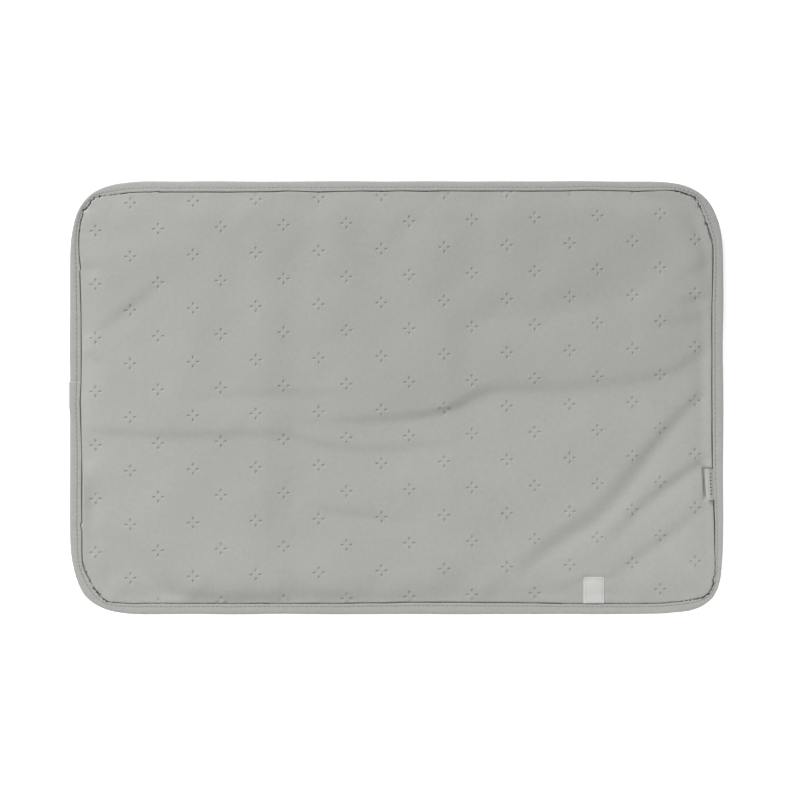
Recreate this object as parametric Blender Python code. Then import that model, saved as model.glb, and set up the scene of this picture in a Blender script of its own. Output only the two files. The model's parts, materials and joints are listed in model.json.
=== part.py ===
"""Folding baby changing pad, laid open with its embossed face up.

Three panels share one padded sandwich: a top cover, a foam core and a back cover, bound all round
with folded tape. The left panel folds over the middle one, and the right panel folds over both. A
loop patch on the right panel's face then meets a hook patch on the left panel's back. A small folded
label is sewn in under the tape at the right edge.

Frame: metres, X along the pad's length, Y across it, Z up, origin under the middle of the pad.
"""

import math

import bmesh
import bpy
from mathutils import Vector

MM = 0.001

# Outline
LENGTH = 600 * MM
WIDTH = 398 * MM
CORNER_REACH = 83 * MM  # how far each corner's curve runs along a side
CORNER_POWER = 3.4  # exponent of the corner's superellipse; 2 would be a circular arc
CORNER_STEPS = 12

# Layers, measured upwards from the ground
HEIGHT = 8.5 * MM  # ground to the crown of the top cover
GAP = 0.3 * MM  # between pieces that touch on the real pad
TOP_COVER = 1.0 * MM
BACK_COVER = 0.6 * MM
EDGE_FOAM = 0.7 * MM  # the foam is squeezed to this inside the binding
COVER_INSET = 2.2 * MM  # the covers end this far inside the outline, within the tape's fold
FOAM_INSET = 2.6 * MM
TOP_SLOPE_START = 11 * MM  # inset at which the top starts to rise from the binding
TOP_SLOPE_END = 34 * MM
TOP_SLOPE_RINGS = 5
BACK_SLOPE_START = 10.5 * MM
BACK_SLOPE_END = 12 * MM

# Binding tape and its row of stitches
TAPE = 0.7 * MM
TAPE_LEG = 10.3 * MM  # how far the folded tape reaches in over each face
TAPE_ARC_STEPS = 8
STITCH_INSET = 7.1 * MM
THREAD_RADIUS = 0.25 * MM

# Folds
FOLD_X = 100 * MM  # the fold lines are at plus and minus this
FOLDED_CLEARANCE = 1.0 * MM  # between two panels folded onto each other
FOLD_LIMIT = math.radians(179.5)  # the padding keeps a folded panel from lying quite level

# Hook and loop patches: 20 mm tape
PATCH_WIDTH = 20.2 * MM
PATCH_THICKNESS = 0.7 * MM
PATCH_CORNER = 2.0 * MM
PATCH_THREAD_RADIUS = 0.2 * MM
PATCH_THREAD_INSET = 1.6 * MM
LOOP_X = 182 * MM
LOOP_INSETS = (10.9 * MM, 34.3 * MM)  # nearest and furthest from the front edge of the pad
HOOK_INSETS = (15.5 * MM, 35.5 * MM)
RECESS_MARGIN = 0.5 * MM
RECESS_RAMP = 3 * MM
FLAT_VOLUME = 1e-13  # a face whose corners span less than this, in cubic metres, counts as flat

# Label: a folded ribbon whose root is under the tape at the right edge
LABEL_LENGTH = 29 * MM
LABEL_REACH = 8 * MM
LABEL_Y = -79.8 * MM
LABEL_THICKNESS = 0.5 * MM
LABEL_CORNER = 1.5 * MM
LABEL_TILT = math.radians(17)
LABEL_ROOT_GAP = 0.5 * MM

# Worked out from the above
BACK_EDGE_Z = TAPE + GAP
FOAM_EDGE_Z = BACK_EDGE_Z + BACK_COVER + GAP
TOP_EDGE_Z = FOAM_EDGE_Z + EDGE_FOAM + GAP
TAPE_HEIGHT = TOP_EDGE_Z + TOP_COVER + GAP + TAPE
MID_FOAM_Z = FOAM_EDGE_Z + EDGE_FOAM / 2  # surfaces above this belong to the face, below to the back
RECESS_DEPTH = PATCH_THICKNESS + 2 * GAP + 2 * PATCH_THREAD_RADIUS
HOOK_X = LOOP_X - 4 * FOLD_X  # both patches land on the same spot when folded
LEFT_PIVOT_Z = HEIGHT + FOLDED_CLEARANCE / 2
LEFT_EDGE_LIFT = (LENGTH / 2 - FOLD_X) * math.sin(FOLD_LIMIT)  # of the folded left panel's free edge
RIGHT_PIVOT_Z = 1.5 * HEIGHT + FOLDED_CLEARANCE + LEFT_EDGE_LIFT / 2
LABEL_PIVOT = Vector((LENGTH / 2 - TAPE_LEG - LABEL_ROOT_GAP / 2, LABEL_Y, TAPE_HEIGHT + 0.2 * MM))

COLOURS = {
    "top_cover": ((0.40, 0.40, 0.385), 0.55),
    "back_cover": ((0.37, 0.37, 0.36), 0.7),
    "foam": ((0.80, 0.79, 0.76), 0.95),
    "binding_tape": ((0.42, 0.42, 0.405), 0.8),
    "thread": ((0.45, 0.45, 0.44), 0.6),
    "loop_tape": ((0.60, 0.60, 0.59), 0.95),
    "hook_tape": ((0.55, 0.55, 0.54), 0.5),
    "label": ((0.48, 0.48, 0.46), 0.45),
}


# ---------------------------------------------------------------- scene helpers


def clear_scene():
    for item in list(bpy.data.objects):
        bpy.data.objects.remove(item)


def material(name):
    found = bpy.data.materials.get(name)
    if found:
        return found
    made = bpy.data.materials.new(name)
    made.use_nodes = True
    shader = made.node_tree.nodes["Principled BSDF"]
    colour, roughness = COLOURS[name]
    shader.inputs["Base Color"].default_value = (*colour, 1)
    shader.inputs["Roughness"].default_value = roughness
    shader.inputs["Metallic"].default_value = 0
    return made


def pivot(name, location, parent=None):
    """An empty on a joint's axis, which carries every piece of one moving panel."""
    empty = bpy.data.objects.new(name, None)
    bpy.context.scene.collection.objects.link(empty)
    empty.location = location
    if parent:
        empty.parent = parent
        empty.location = Vector(location) - parent.location
    bpy.context.view_layer.update()
    return empty


def place(name, data, material_name, parent):
    piece = bpy.data.objects.new(name, data)
    bpy.context.scene.collection.objects.link(piece)
    data.materials.append(material(material_name))
    if parent:
        piece.parent = parent
        piece.matrix_parent_inverse = parent.matrix_world.inverted()
    return piece


def place_bmesh(name, shape, material_name, parent):
    bmesh.ops.recalc_face_normals(shape, faces=shape.faces)
    data = bpy.data.meshes.new(name)
    shape.to_mesh(data)
    shape.free()
    data.shade_smooth()
    data.set_sharp_from_angle(angle=math.radians(35))
    return place(name, data, material_name, parent)


def place_thread(name, points, radius, cyclic, parent):
    """A thread is a bevelled curve through its points."""
    data = bpy.data.curves.new(name, "CURVE")
    data.dimensions = "3D"
    data.bevel_depth = radius
    data.bevel_resolution = 1
    data.use_fill_caps = not cyclic
    spline = data.splines.new("POLY")
    spline.points.add(len(points) - 1)
    for slot, point in zip(spline.points, points):
        slot.co = (*point, 1)
    spline.use_cyclic_u = cyclic
    return place(name, data, "thread", parent)


# ---------------------------------------------------------------- outline


def corner(sign_x, sign_y, turn_forward):
    """One corner as (point, outward normal) pairs, with the normal turning by equal steps."""
    stations = []
    for step in range(CORNER_STEPS + 1):
        turn = (math.pi / 2) * step / CORNER_STEPS
        if not turn_forward:
            turn = math.pi / 2 - turn
        normal = Vector((math.cos(turn), math.sin(turn)))
        power = 1 / (CORNER_POWER - 1)
        along_x = max(normal.x, 0) ** power
        along_y = max(normal.y, 0) ** power
        scale = (along_x**CORNER_POWER + along_y**CORNER_POWER) ** (-1 / CORNER_POWER)
        offset = Vector((along_x, along_y)) * scale * CORNER_REACH
        centre = Vector((LENGTH / 2 - CORNER_REACH, WIDTH / 2 - CORNER_REACH))
        point = centre + offset
        signs = Vector((sign_x, sign_y))
        stations.append((point * signs, normal * signs))
    return stations


def outline():
    """The whole outline, counter-clockwise, from where the right side meets its back corner."""
    return corner(1, 1, True) + corner(-1, 1, False) + corner(-1, -1, True) + corner(1, -1, False)


def side_path(side):
    """The binding's path round the left or right panel, from one fold line to the other."""
    start_x = side * (FOLD_X + GAP / 2)
    back = (Vector((start_x, WIDTH / 2)), Vector((0, 1)))
    front = (Vector((start_x, -WIDTH / 2)), Vector((0, -1)))
    return [back] + corner(side, 1, False) + corner(side, -1, True) + [front]


def straight_path(side):
    """The binding's path along the middle panel, at the back (1) or the front (-1)."""
    end_x = FOLD_X - GAP / 2
    normal = Vector((0, side))
    return [(Vector((x, side * WIDTH / 2)), normal) for x in (-end_x, end_x)]


# ---------------------------------------------------------------- padded layers


def crown_rise(inset):
    """How far the face has risen above the level it leaves the binding at."""
    share = (inset - TOP_SLOPE_START) / (TOP_SLOPE_END - TOP_SLOPE_START)
    share = min(max(share, 0), 1)
    return (HEIGHT - TOP_EDGE_Z - TOP_COVER) * math.sin(share * math.pi / 2)


def slope_insets():
    step = (TOP_SLOPE_END - TOP_SLOPE_START) / TOP_SLOPE_RINGS
    return [TOP_SLOPE_START + step * ring for ring in range(TOP_SLOPE_RINGS + 1)]


def face_profile(edge_inset, edge_z):
    """(inset, height) pairs of a surface that follows the face, from the edge inwards."""
    inner = [(inset, edge_z + crown_rise(inset)) for inset in slope_insets()]
    return [(edge_inset, edge_z)] + inner


def back_profile(edge_inset, edge_z):
    """(inset, height) pairs of a surface that follows the back, from the edge inwards."""
    flat_z = edge_z - BACK_EDGE_Z
    return [(edge_inset, edge_z), (BACK_SLOPE_START, edge_z), (BACK_SLOPE_END, flat_z)]


def ramp(distance, half_width):
    """1 within a recess's half width and its margin, falling to 0 over the ramp."""
    outside = abs(distance) - half_width - RECESS_MARGIN
    return 1 - min(max(outside / RECESS_RAMP, 0), 1)


def patch_cover(x, y, patch_x, insets):
    """1 over a patch, 0 away from it."""
    middle_y = sum(insets) / 2 - WIDTH / 2
    half_y = (insets[1] - insets[0]) / 2
    return ramp(x - patch_x, PATCH_WIDTH / 2) * ramp(y - middle_y, half_y)


def face_sink(x, y):
    """How far the face is pulled down so that the loop patch stays below the crown."""
    lowered = RECESS_DEPTH * patch_cover(x, y, LOOP_X, LOOP_INSETS)
    headroom = HEIGHT - TOP_EDGE_Z - TOP_COVER - crown_rise(y + WIDTH / 2)
    return max(lowered - headroom, 0)


def back_sink(x, y):
    """How far the back is pushed up so that the hook patch stays above the ground."""
    return RECESS_DEPTH * patch_cover(x, y, HOOK_X, HOOK_INSETS)


def recess_lines(patch_x, insets):
    """The X and Y values at which a recess starts, ends and bends."""
    reach = PATCH_WIDTH / 2 + RECESS_MARGIN
    lines_x = [patch_x + side * (reach + extra) for side in (-1, 1) for extra in (0, RECESS_RAMP)]
    low, high = (inset - WIDTH / 2 for inset in insets)
    lines_y = [low - RECESS_MARGIN, low - RECESS_MARGIN - RECESS_RAMP]
    lines_y += [high + RECESS_MARGIN, high + RECESS_MARGIN + RECESS_RAMP]
    return lines_x, lines_y


def cut(shape, axis, value, keep_below=None):
    """Slices the shape along a plane. With keep_below set, the other side is removed and closed."""
    point = Vector((0, 0, 0))
    point[axis] = value
    normal = Vector((0, 0, 0))
    normal[axis] = 1
    if keep_below is False:
        normal.negate()
    everything = shape.verts[:] + shape.edges[:] + shape.faces[:]
    made = bmesh.ops.bisect_plane(
        shape,
        geom=everything,
        dist=1e-7,
        plane_co=point,
        plane_no=normal,
        clear_outer=keep_below is not None,
    )
    if keep_below is not None:
        rim = [item for item in made["geom_cut"] if isinstance(item, bmesh.types.BMEdge)]
        bmesh.ops.edgeloop_fill(shape, edges=rim)


def split_bent_faces(shape, centre):
    """Splits each bent four-sided face from its corner nearest the centre, alike in every layer."""
    for face in list(shape.faces):
        corners = [loop.vert for loop in face.loops]
        if len(corners) != 4:
            continue
        first, second, third, fourth = (vertex.co for vertex in corners)
        volume = (second - first).cross(third - first).dot(fourth - first)
        if abs(volume) < FLAT_VOLUME:
            continue
        nearest = min(range(4), key=lambda index: (corners[index].co.xy - centre).length)
        bmesh.utils.face_split(face, corners[nearest], corners[(nearest + 2) % 4])


def layer_shape(low, high):
    """A closed pad-shaped layer between two profiles that start at the same inset."""
    shape = bmesh.new()
    profile = list(reversed(low)) + high
    rings = []
    for inset, height in profile:
        points = [point - normal * inset for point, normal in outline()]
        rings.append([shape.verts.new((point.x, point.y, height)) for point in points])
    shape.faces.new(reversed(rings[0]))
    shape.faces.new(rings[-1])
    for lower, upper in zip(rings, rings[1:]):
        count = len(lower)
        for index in range(count):
            after = (index + 1) % count
            shape.faces.new((lower[index], lower[after], upper[after], upper[index]))
    return shape


def press_recess(shape, patch_x, insets):
    """Presses the dip for a patch into one panel's layer."""
    lines_x, lines_y = recess_lines(patch_x, insets)
    for value in lines_x:
        cut(shape, 0, value)
    for value in lines_y:
        cut(shape, 1, value)
    for vertex in shape.verts:
        if vertex.co.z > MID_FOAM_Z:
            vertex.co.z -= face_sink(vertex.co.x, vertex.co.y)
        else:
            vertex.co.z += back_sink(vertex.co.x, vertex.co.y)
    split_bent_faces(shape, Vector((patch_x, sum(insets) / 2 - WIDTH / 2)))


def panel_layer(name, low, high, panel, material_name):
    """One panel's share of a layer, with the patches' recesses pressed into it."""
    side, parent = panel
    shape = layer_shape(low, high)
    if side < 0:
        cut(shape, 0, -FOLD_X - GAP / 2, keep_below=True)
        patch_x, insets = HOOK_X, HOOK_INSETS
    elif side > 0:
        cut(shape, 0, FOLD_X + GAP / 2, keep_below=False)
        patch_x, insets = LOOP_X, LOOP_INSETS
    else:
        cut(shape, 0, -FOLD_X + GAP / 2, keep_below=False)
        cut(shape, 0, FOLD_X - GAP / 2, keep_below=True)
    if side:
        press_recess(shape, patch_x, insets)
    place_bmesh(name, shape, material_name, parent)


def padded_layers(panel_name, panel):
    top_low = face_profile(COVER_INSET, TOP_EDGE_Z)
    top_high = face_profile(COVER_INSET, TOP_EDGE_Z + TOP_COVER)
    foam_low = back_profile(FOAM_INSET, FOAM_EDGE_Z)
    foam_high = face_profile(FOAM_INSET, TOP_EDGE_Z - GAP)
    back_low = back_profile(COVER_INSET, BACK_EDGE_Z)
    back_high = back_profile(COVER_INSET, BACK_EDGE_Z + BACK_COVER)
    panel_layer("top_cover_" + panel_name, top_low, top_high, panel, "top_cover")
    panel_layer("foam_core_" + panel_name, foam_low, foam_high, panel, "foam")
    panel_layer("back_cover_" + panel_name, back_low, back_high, panel, "back_cover")


# ---------------------------------------------------------------- binding


def tape_section():
    """The folded tape's section as (inset, height) pairs: round outside, round inside."""
    outer_radius = TAPE_HEIGHT / 2
    inner_radius = outer_radius - TAPE
    outer = []
    inner = []
    for step in range(TAPE_ARC_STEPS + 1):
        turn = math.pi * (step / TAPE_ARC_STEPS - 0.5)
        reach, lift = math.cos(turn), math.sin(turn)
        outer.append((outer_radius * (1 - reach), outer_radius * (1 + lift)))
        inner.append((outer_radius - inner_radius * reach, outer_radius + inner_radius * lift))
    section = [(TAPE_LEG, 0)] + outer + [(TAPE_LEG, TAPE_HEIGHT)]
    section += [(TAPE_LEG, TAPE_HEIGHT - TAPE)] + list(reversed(inner)) + [(TAPE_LEG, TAPE)]
    return section


def binding(name, path, parent):
    """The tape's section carried along a path, closed at both ends."""
    shape = bmesh.new()
    section = tape_section()
    loops = []
    for point, normal in path:
        places = [(point - normal * inset, height) for inset, height in section]
        loops.append([shape.verts.new((spot.x, spot.y, height)) for spot, height in places])
    shape.faces.new(loops[0])
    shape.faces.new(reversed(loops[-1]))
    for first, second in zip(loops, loops[1:]):
        count = len(first)
        for index in range(count):
            after = (index + 1) % count
            shape.faces.new((first[index], first[after], second[after], second[index]))
    place_bmesh(name, shape, "binding_tape", parent)


def binding_thread(name, path, parent):
    height = TAPE_HEIGHT + GAP + THREAD_RADIUS
    spots = [point - normal * STITCH_INSET for point, normal in path]
    points = [(spot.x, spot.y, height) for spot in spots]
    place_thread(name, points, THREAD_RADIUS, False, parent)


# ---------------------------------------------------------------- patches and label


def rounded_rectangle(low, high, radius, steps=4):
    """Corner points of a rounded rectangle in plan, counter-clockwise."""
    points = []
    corners = ((high[0], high[1], 0), (low[0], high[1], 1), (low[0], low[1], 2), (high[0], low[1], 3))
    for x, y, quarter in corners:
        centre_x = x - radius if x == high[0] else x + radius
        centre_y = y - radius if y == high[1] else y + radius
        for step in range(steps + 1):
            turn = (quarter + step / steps) * math.pi / 2
            points.append((centre_x + radius * math.cos(turn), centre_y + radius * math.sin(turn)))
    return points


def flat_piece(name, points, rows, height_at, thickness, material_name, parent):
    """A thin sheet with a plan outline, lifted to a height that depends on Y, or on X."""
    shape = bmesh.new()
    shape.faces.new([shape.verts.new((x, y, 0)) for x, y in points])
    for row in rows:
        cut(shape, 1, row)
    faces = list(shape.faces)
    raised = bmesh.ops.extrude_face_region(shape, geom=faces)
    upper = {item for item in raised["geom"] if isinstance(item, bmesh.types.BMVert)}
    for vertex in shape.verts:
        vertex.co.z = height_at(vertex.co.x, vertex.co.y) + (thickness if vertex in upper else 0)
    place_bmesh(name, shape, material_name, parent)


def face_height(inset):
    """The face's height under the loop patch: straight between rings, capped by the recess."""
    def capped(ring):
        return min(TOP_EDGE_Z + TOP_COVER + crown_rise(ring), HEIGHT - RECESS_DEPTH)

    rings = [COVER_INSET] + slope_insets()
    for near, far in zip(rings, rings[1:]):
        if inset <= far:
            share = (inset - near) / (far - near)
            return capped(near) * (1 - share) + capped(far) * share
    return capped(rings[-1])


def with_rows(points, rows):
    """Adds a point wherever a closed plan loop crosses one of the rows."""
    result = []
    for here, there in zip(points, points[1:] + points[:1]):
        result.append(here)
        crossed = [row for row in rows if min(here[1], there[1]) < row < max(here[1], there[1])]
        for row in sorted(crossed, reverse=here[1] > there[1]):
            share = (row - here[1]) / (there[1] - here[1])
            result.append((here[0] + (there[0] - here[0]) * share, row))
    return result


def loop_patch(parent):
    """The soft half of the closure, on the right panel's face at its front edge."""
    low = (LOOP_X - PATCH_WIDTH / 2, LOOP_INSETS[0] - WIDTH / 2)
    high = (LOOP_X + PATCH_WIDTH / 2, LOOP_INSETS[1] - WIDTH / 2)
    rows = [inset - WIDTH / 2 for inset in slope_insets() if LOOP_INSETS[0] < inset < LOOP_INSETS[1]]

    def under(x, y):
        return face_height(y + WIDTH / 2) + GAP

    outline_points = rounded_rectangle(low, high, PATCH_CORNER)
    flat_piece("loop_patch", outline_points, rows, under, PATCH_THICKNESS, "loop_tape", parent)

    inset = PATCH_THREAD_INSET
    low = (low[0] + inset, low[1] + inset)
    high = (high[0] - inset, high[1] - inset)
    lift = PATCH_THICKNESS + GAP + PATCH_THREAD_RADIUS
    route = with_rows(rounded_rectangle(low, high, PATCH_CORNER / 2), rows)
    points = [(x, y, under(x, y) + lift) for x, y in route]
    place_thread("loop_patch_thread", points, PATCH_THREAD_RADIUS, True, parent)


def hook_patch(parent):
    """The stiff half of the closure, on the left panel's back."""
    low = (HOOK_X - PATCH_WIDTH / 2, HOOK_INSETS[0] - WIDTH / 2)
    high = (HOOK_X + PATCH_WIDTH / 2, HOOK_INSETS[1] - WIDTH / 2)
    face_z = 2 * PATCH_THREAD_RADIUS + GAP

    def level(x, y):
        return face_z

    outline_points = rounded_rectangle(low, high, PATCH_CORNER)
    flat_piece("hook_patch", outline_points, [], level, PATCH_THICKNESS, "hook_tape", parent)

    inset = PATCH_THREAD_INSET
    low = (low[0] + inset, low[1] + inset)
    high = (high[0] - inset, high[1] - inset)
    route = rounded_rectangle(low, high, PATCH_CORNER / 2)
    points = [(x, y, PATCH_THREAD_RADIUS) for x, y in route]
    place_thread("hook_patch_thread", points, PATCH_THREAD_RADIUS, True, parent)


def label(parent):
    """A small ribbon label that lies on the face and can be flipped over onto the binding."""
    root_x = LENGTH / 2 - TAPE_LEG - LABEL_ROOT_GAP
    low = (root_x - LABEL_REACH, LABEL_Y - LABEL_LENGTH / 2)
    high = (root_x, LABEL_Y + LABEL_LENGTH / 2)
    root_z = TOP_EDGE_Z + TOP_COVER + GAP + 0.1 * MM

    def sloping(x, y):
        return root_z + (root_x - x) * math.tan(LABEL_TILT)

    points = rounded_rectangle(low, high, LABEL_CORNER)
    flat_piece("label", points, [], sloping, LABEL_THICKNESS, "label", parent)


# ---------------------------------------------------------------- assembly


def build():
    clear_scene()
    left_pivot = pivot("left_fold_pivot", (-FOLD_X, 0, LEFT_PIVOT_Z))
    right_pivot = pivot("right_fold_pivot", (FOLD_X, 0, RIGHT_PIVOT_Z))
    label_pivot = pivot("label_pivot", LABEL_PIVOT, right_pivot)

    padded_layers("left", (-1, left_pivot))
    padded_layers("middle", (0, None))
    padded_layers("right", (1, right_pivot))

    paths = {
        "left": (side_path(-1), left_pivot),
        "right": (side_path(1), right_pivot),
        "middle_back": (straight_path(1), None),
        "middle_front": (straight_path(-1), None),
    }
    for place_name, (path, parent) in paths.items():
        binding("binding_" + place_name, path, parent)
        binding_thread("binding_thread_" + place_name, path, parent)

    loop_patch(right_pivot)
    hook_patch(left_pivot)
    label(label_pivot)


build()
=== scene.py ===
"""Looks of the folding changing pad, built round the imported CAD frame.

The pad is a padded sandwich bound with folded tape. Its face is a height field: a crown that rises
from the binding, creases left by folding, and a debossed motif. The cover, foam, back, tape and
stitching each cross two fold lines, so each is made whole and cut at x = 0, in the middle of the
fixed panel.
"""

import json
import math

import bpy
import numpy as np
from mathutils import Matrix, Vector
from mathutils.geometry import delaunay_2d_cdt

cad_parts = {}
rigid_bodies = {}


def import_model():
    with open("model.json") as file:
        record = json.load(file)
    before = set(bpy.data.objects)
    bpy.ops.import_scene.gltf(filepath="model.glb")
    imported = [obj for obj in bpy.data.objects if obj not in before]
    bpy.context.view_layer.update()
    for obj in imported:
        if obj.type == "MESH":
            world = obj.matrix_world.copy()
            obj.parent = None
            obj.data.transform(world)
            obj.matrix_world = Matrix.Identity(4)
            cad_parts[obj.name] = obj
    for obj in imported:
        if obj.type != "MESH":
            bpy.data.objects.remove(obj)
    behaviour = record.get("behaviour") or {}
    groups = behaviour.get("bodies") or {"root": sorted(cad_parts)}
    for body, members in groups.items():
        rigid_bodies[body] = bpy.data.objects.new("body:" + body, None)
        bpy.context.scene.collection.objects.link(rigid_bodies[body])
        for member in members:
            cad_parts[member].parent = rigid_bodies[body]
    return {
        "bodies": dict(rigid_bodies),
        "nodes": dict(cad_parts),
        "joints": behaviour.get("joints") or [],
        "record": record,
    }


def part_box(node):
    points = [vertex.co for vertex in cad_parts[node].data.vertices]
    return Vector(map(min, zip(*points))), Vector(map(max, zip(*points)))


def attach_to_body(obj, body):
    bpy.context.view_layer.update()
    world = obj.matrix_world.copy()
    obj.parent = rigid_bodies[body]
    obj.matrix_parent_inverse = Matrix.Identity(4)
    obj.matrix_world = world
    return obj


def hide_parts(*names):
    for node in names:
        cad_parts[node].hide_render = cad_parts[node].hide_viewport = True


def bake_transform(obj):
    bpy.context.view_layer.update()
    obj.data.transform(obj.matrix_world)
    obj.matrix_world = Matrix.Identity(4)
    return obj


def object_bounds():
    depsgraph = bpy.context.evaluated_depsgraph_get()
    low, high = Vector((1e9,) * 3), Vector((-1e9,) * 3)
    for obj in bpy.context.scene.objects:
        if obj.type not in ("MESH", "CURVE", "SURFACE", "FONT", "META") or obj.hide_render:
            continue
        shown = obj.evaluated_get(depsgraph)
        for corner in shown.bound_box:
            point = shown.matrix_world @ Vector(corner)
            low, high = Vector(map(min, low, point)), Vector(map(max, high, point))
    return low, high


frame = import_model()
cad_low, cad_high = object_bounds()

MM = 0.001
UP = np.array([0, 0, 1])

# ---------------- sizes

HALF_LENGTH = cad_high.x
HALF_WIDTH = cad_high.y
TAPE_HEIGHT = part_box("binding_middle_front")[1].z
FOLD_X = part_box("top_cover_middle")[1].x
FOLD_REACH = 7 * MM  # the fabric bends this far to each side of a fold line

# The outline's corners are superellipses, as in the CAD model
CORNER_REACH = 83 * MM
CORNER_POWER = 3.4

# How far the sewn edge strays outwards from the CAD outline, as (direction of the outward normal in
# degrees, mm). The front right corner is squarer than the others.
EDGE_SHIFT = (
    (0, 0.6), (10, -0.4), (20, -0.9), (45, -0.7), (75, -0.3), (90, -0.6), (95, -1.3), (105, -1.1),
    (120, -0.6), (135, -0.8), (150, -1.0), (170, -1.4), (180, -0.7), (190, -1.9), (200, -1.9),
    (210, -1.4), (220, -0.7), (240, -0.2), (255, 0.3), (270, 0.3), (280, 0.6), (290, 2.4),
    (300, 3.6), (310, 4.4), (320, 4.9), (330, 4.3), (340, 3.3), (350, 1.6), (360, 0.6),
)

# How much higher, in mm, the tape's inner edge is than its outer one, by direction
TAPE_TILTS = ((0, 0.0), (90, 0.8), (180, -0.9), (270, 0.2), (360, 0.0))

# How far in from the CAD outline the tape's inner edge lies, in mm: round the corners by direction
# in degrees, and along each side by x or y in mm. The tape was eased round each corner by hand, so
# it narrows, widens and steps.
CORNER_INNER = (
    (0, 8.5), (0.3, 8.3), (4, 8.1), (8, 9.9), (18, 11.7), (30, 10.9), (40, 10.1), (48, 8.7), (56, 6.8),
    (60, 6.7), (64, 7.5), (76, 6.9), (84, 7.7), (88, 9.2), (89.7, 9.5), (90.3, 10.3), (100, 10.5),
    (108, 9.4), (116, 7.8), (120, 7.4), (122.5, 6.2), (128, 5.7), (134, 5.8), (137, 7.3), (147, 6.6),
    (151, 5.8), (155, 6.6), (165, 7.2), (176, 8.2), (178.8, 8.9), (179.7, 9.4), (180.3, 11.4), (190, 10.3),
    (202, 11.7), (214, 12.2), (224, 11.1), (232, 10.5), (240, 8.7), (246, 7.1), (253, 6.5), (260, 8.1),
    (269.7, 9.0), (270.3, 9.0), (280, 8.9), (288, 7.6), (296, 6.1), (304, 3.9), (308, 3.1), (312, 1.2),
    (320, 0.2), (328, 0.3), (333, 1.0), (337, 2.5), (344, 3.1), (352, 5.3), (357, 6.6), (360, 6.8),
)
SIDE_INNER = {
    "right": ((-116, 6.8), (-100, 7.6), (-80, 8.5), (-30, 9.3), (85, 9.4), (116, 8.5)),
    "back": (
        (-217, 10.3), (-130, 10.3), (-100, 9.5), (-70, 10.2), (-30, 9.4), (150, 9.4), (175, 8.6), (217, 9.5),
    ),
    "left": (
        (-116, 11.4), (-50, 11.4), (-30, 10.6), (-5, 9.9), (15, 10.8), (75, 10.8), (100, 9.9), (116, 9.4),
    ),
    "front": ((-217, 9.0), (-50, 9.1), (-20, 9.7), (30, 10.3), (130, 9.7), (155, 9.0), (217, 9.0)),
}

# Where the tape's edge is puckered into a dark little pit: the direction, and how strong it is
PITS = (
    (40, 0.6), (49, 0.8), (57, 0.8), (64, 0.6), (119, 0.8), (136, 0.5), (151, 1.0), (200, 0.5),
    (210, 1.0), (224, 0.9), (232, 0.9), (241, 0.5), (309, 0.8), (321, 1.0), (334, 1.0),
)
PIT_WIDTH = 0.95 * MM
PIT_DEPTH = 2 * MM

# The binding tape. Its ends lap on the left side. SEAM_SHARES is the seam's place across it, by
# direction.
TAPE_WIDTH = 10.3 * MM  # what the tape covers of the back
SEAM_SHARES = ((0, 0.76), (50, 0.7), (90, 0.66), (180, 0.64), (230, 0.69), (270, 0.76), (360, 0.76))
STITCH_PITCH = 4.3 * MM
STITCH_LENGTH = 3.3 * MM
THREAD_RADIUS = 0.18 * MM
NEAR_SIDE = 20 * MM  # what counts as being at the left side
LAP_Y = 14.4 * MM
LAP_END_Y = -21 * MM
LAP_STEP = 0.9 * MM  # how much further out the upper end lies
LAP_LIFT = 0.35 * MM  # and how much higher
THREAD_SIDES = 6

# Heights of the face
GAP_Z = 2.7 * MM  # the bottom of the gap beside the tape
GAP_WIDTH = 0.45 * MM
SHOULDER_Z = 5.0 * MM
SHOULDER_RUN = 0.6 * MM
CROWN_Z = 7.9 * MM
CROWN_RUN = 26 * MM
# How much lower the crown is at each side, and how far in from it that lasts
SAGS = {"back": (1.5 * MM, 50 * MM), "left": (0.8 * MM, 40 * MM), "right": (0.9 * MM, 40 * MM)}

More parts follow.
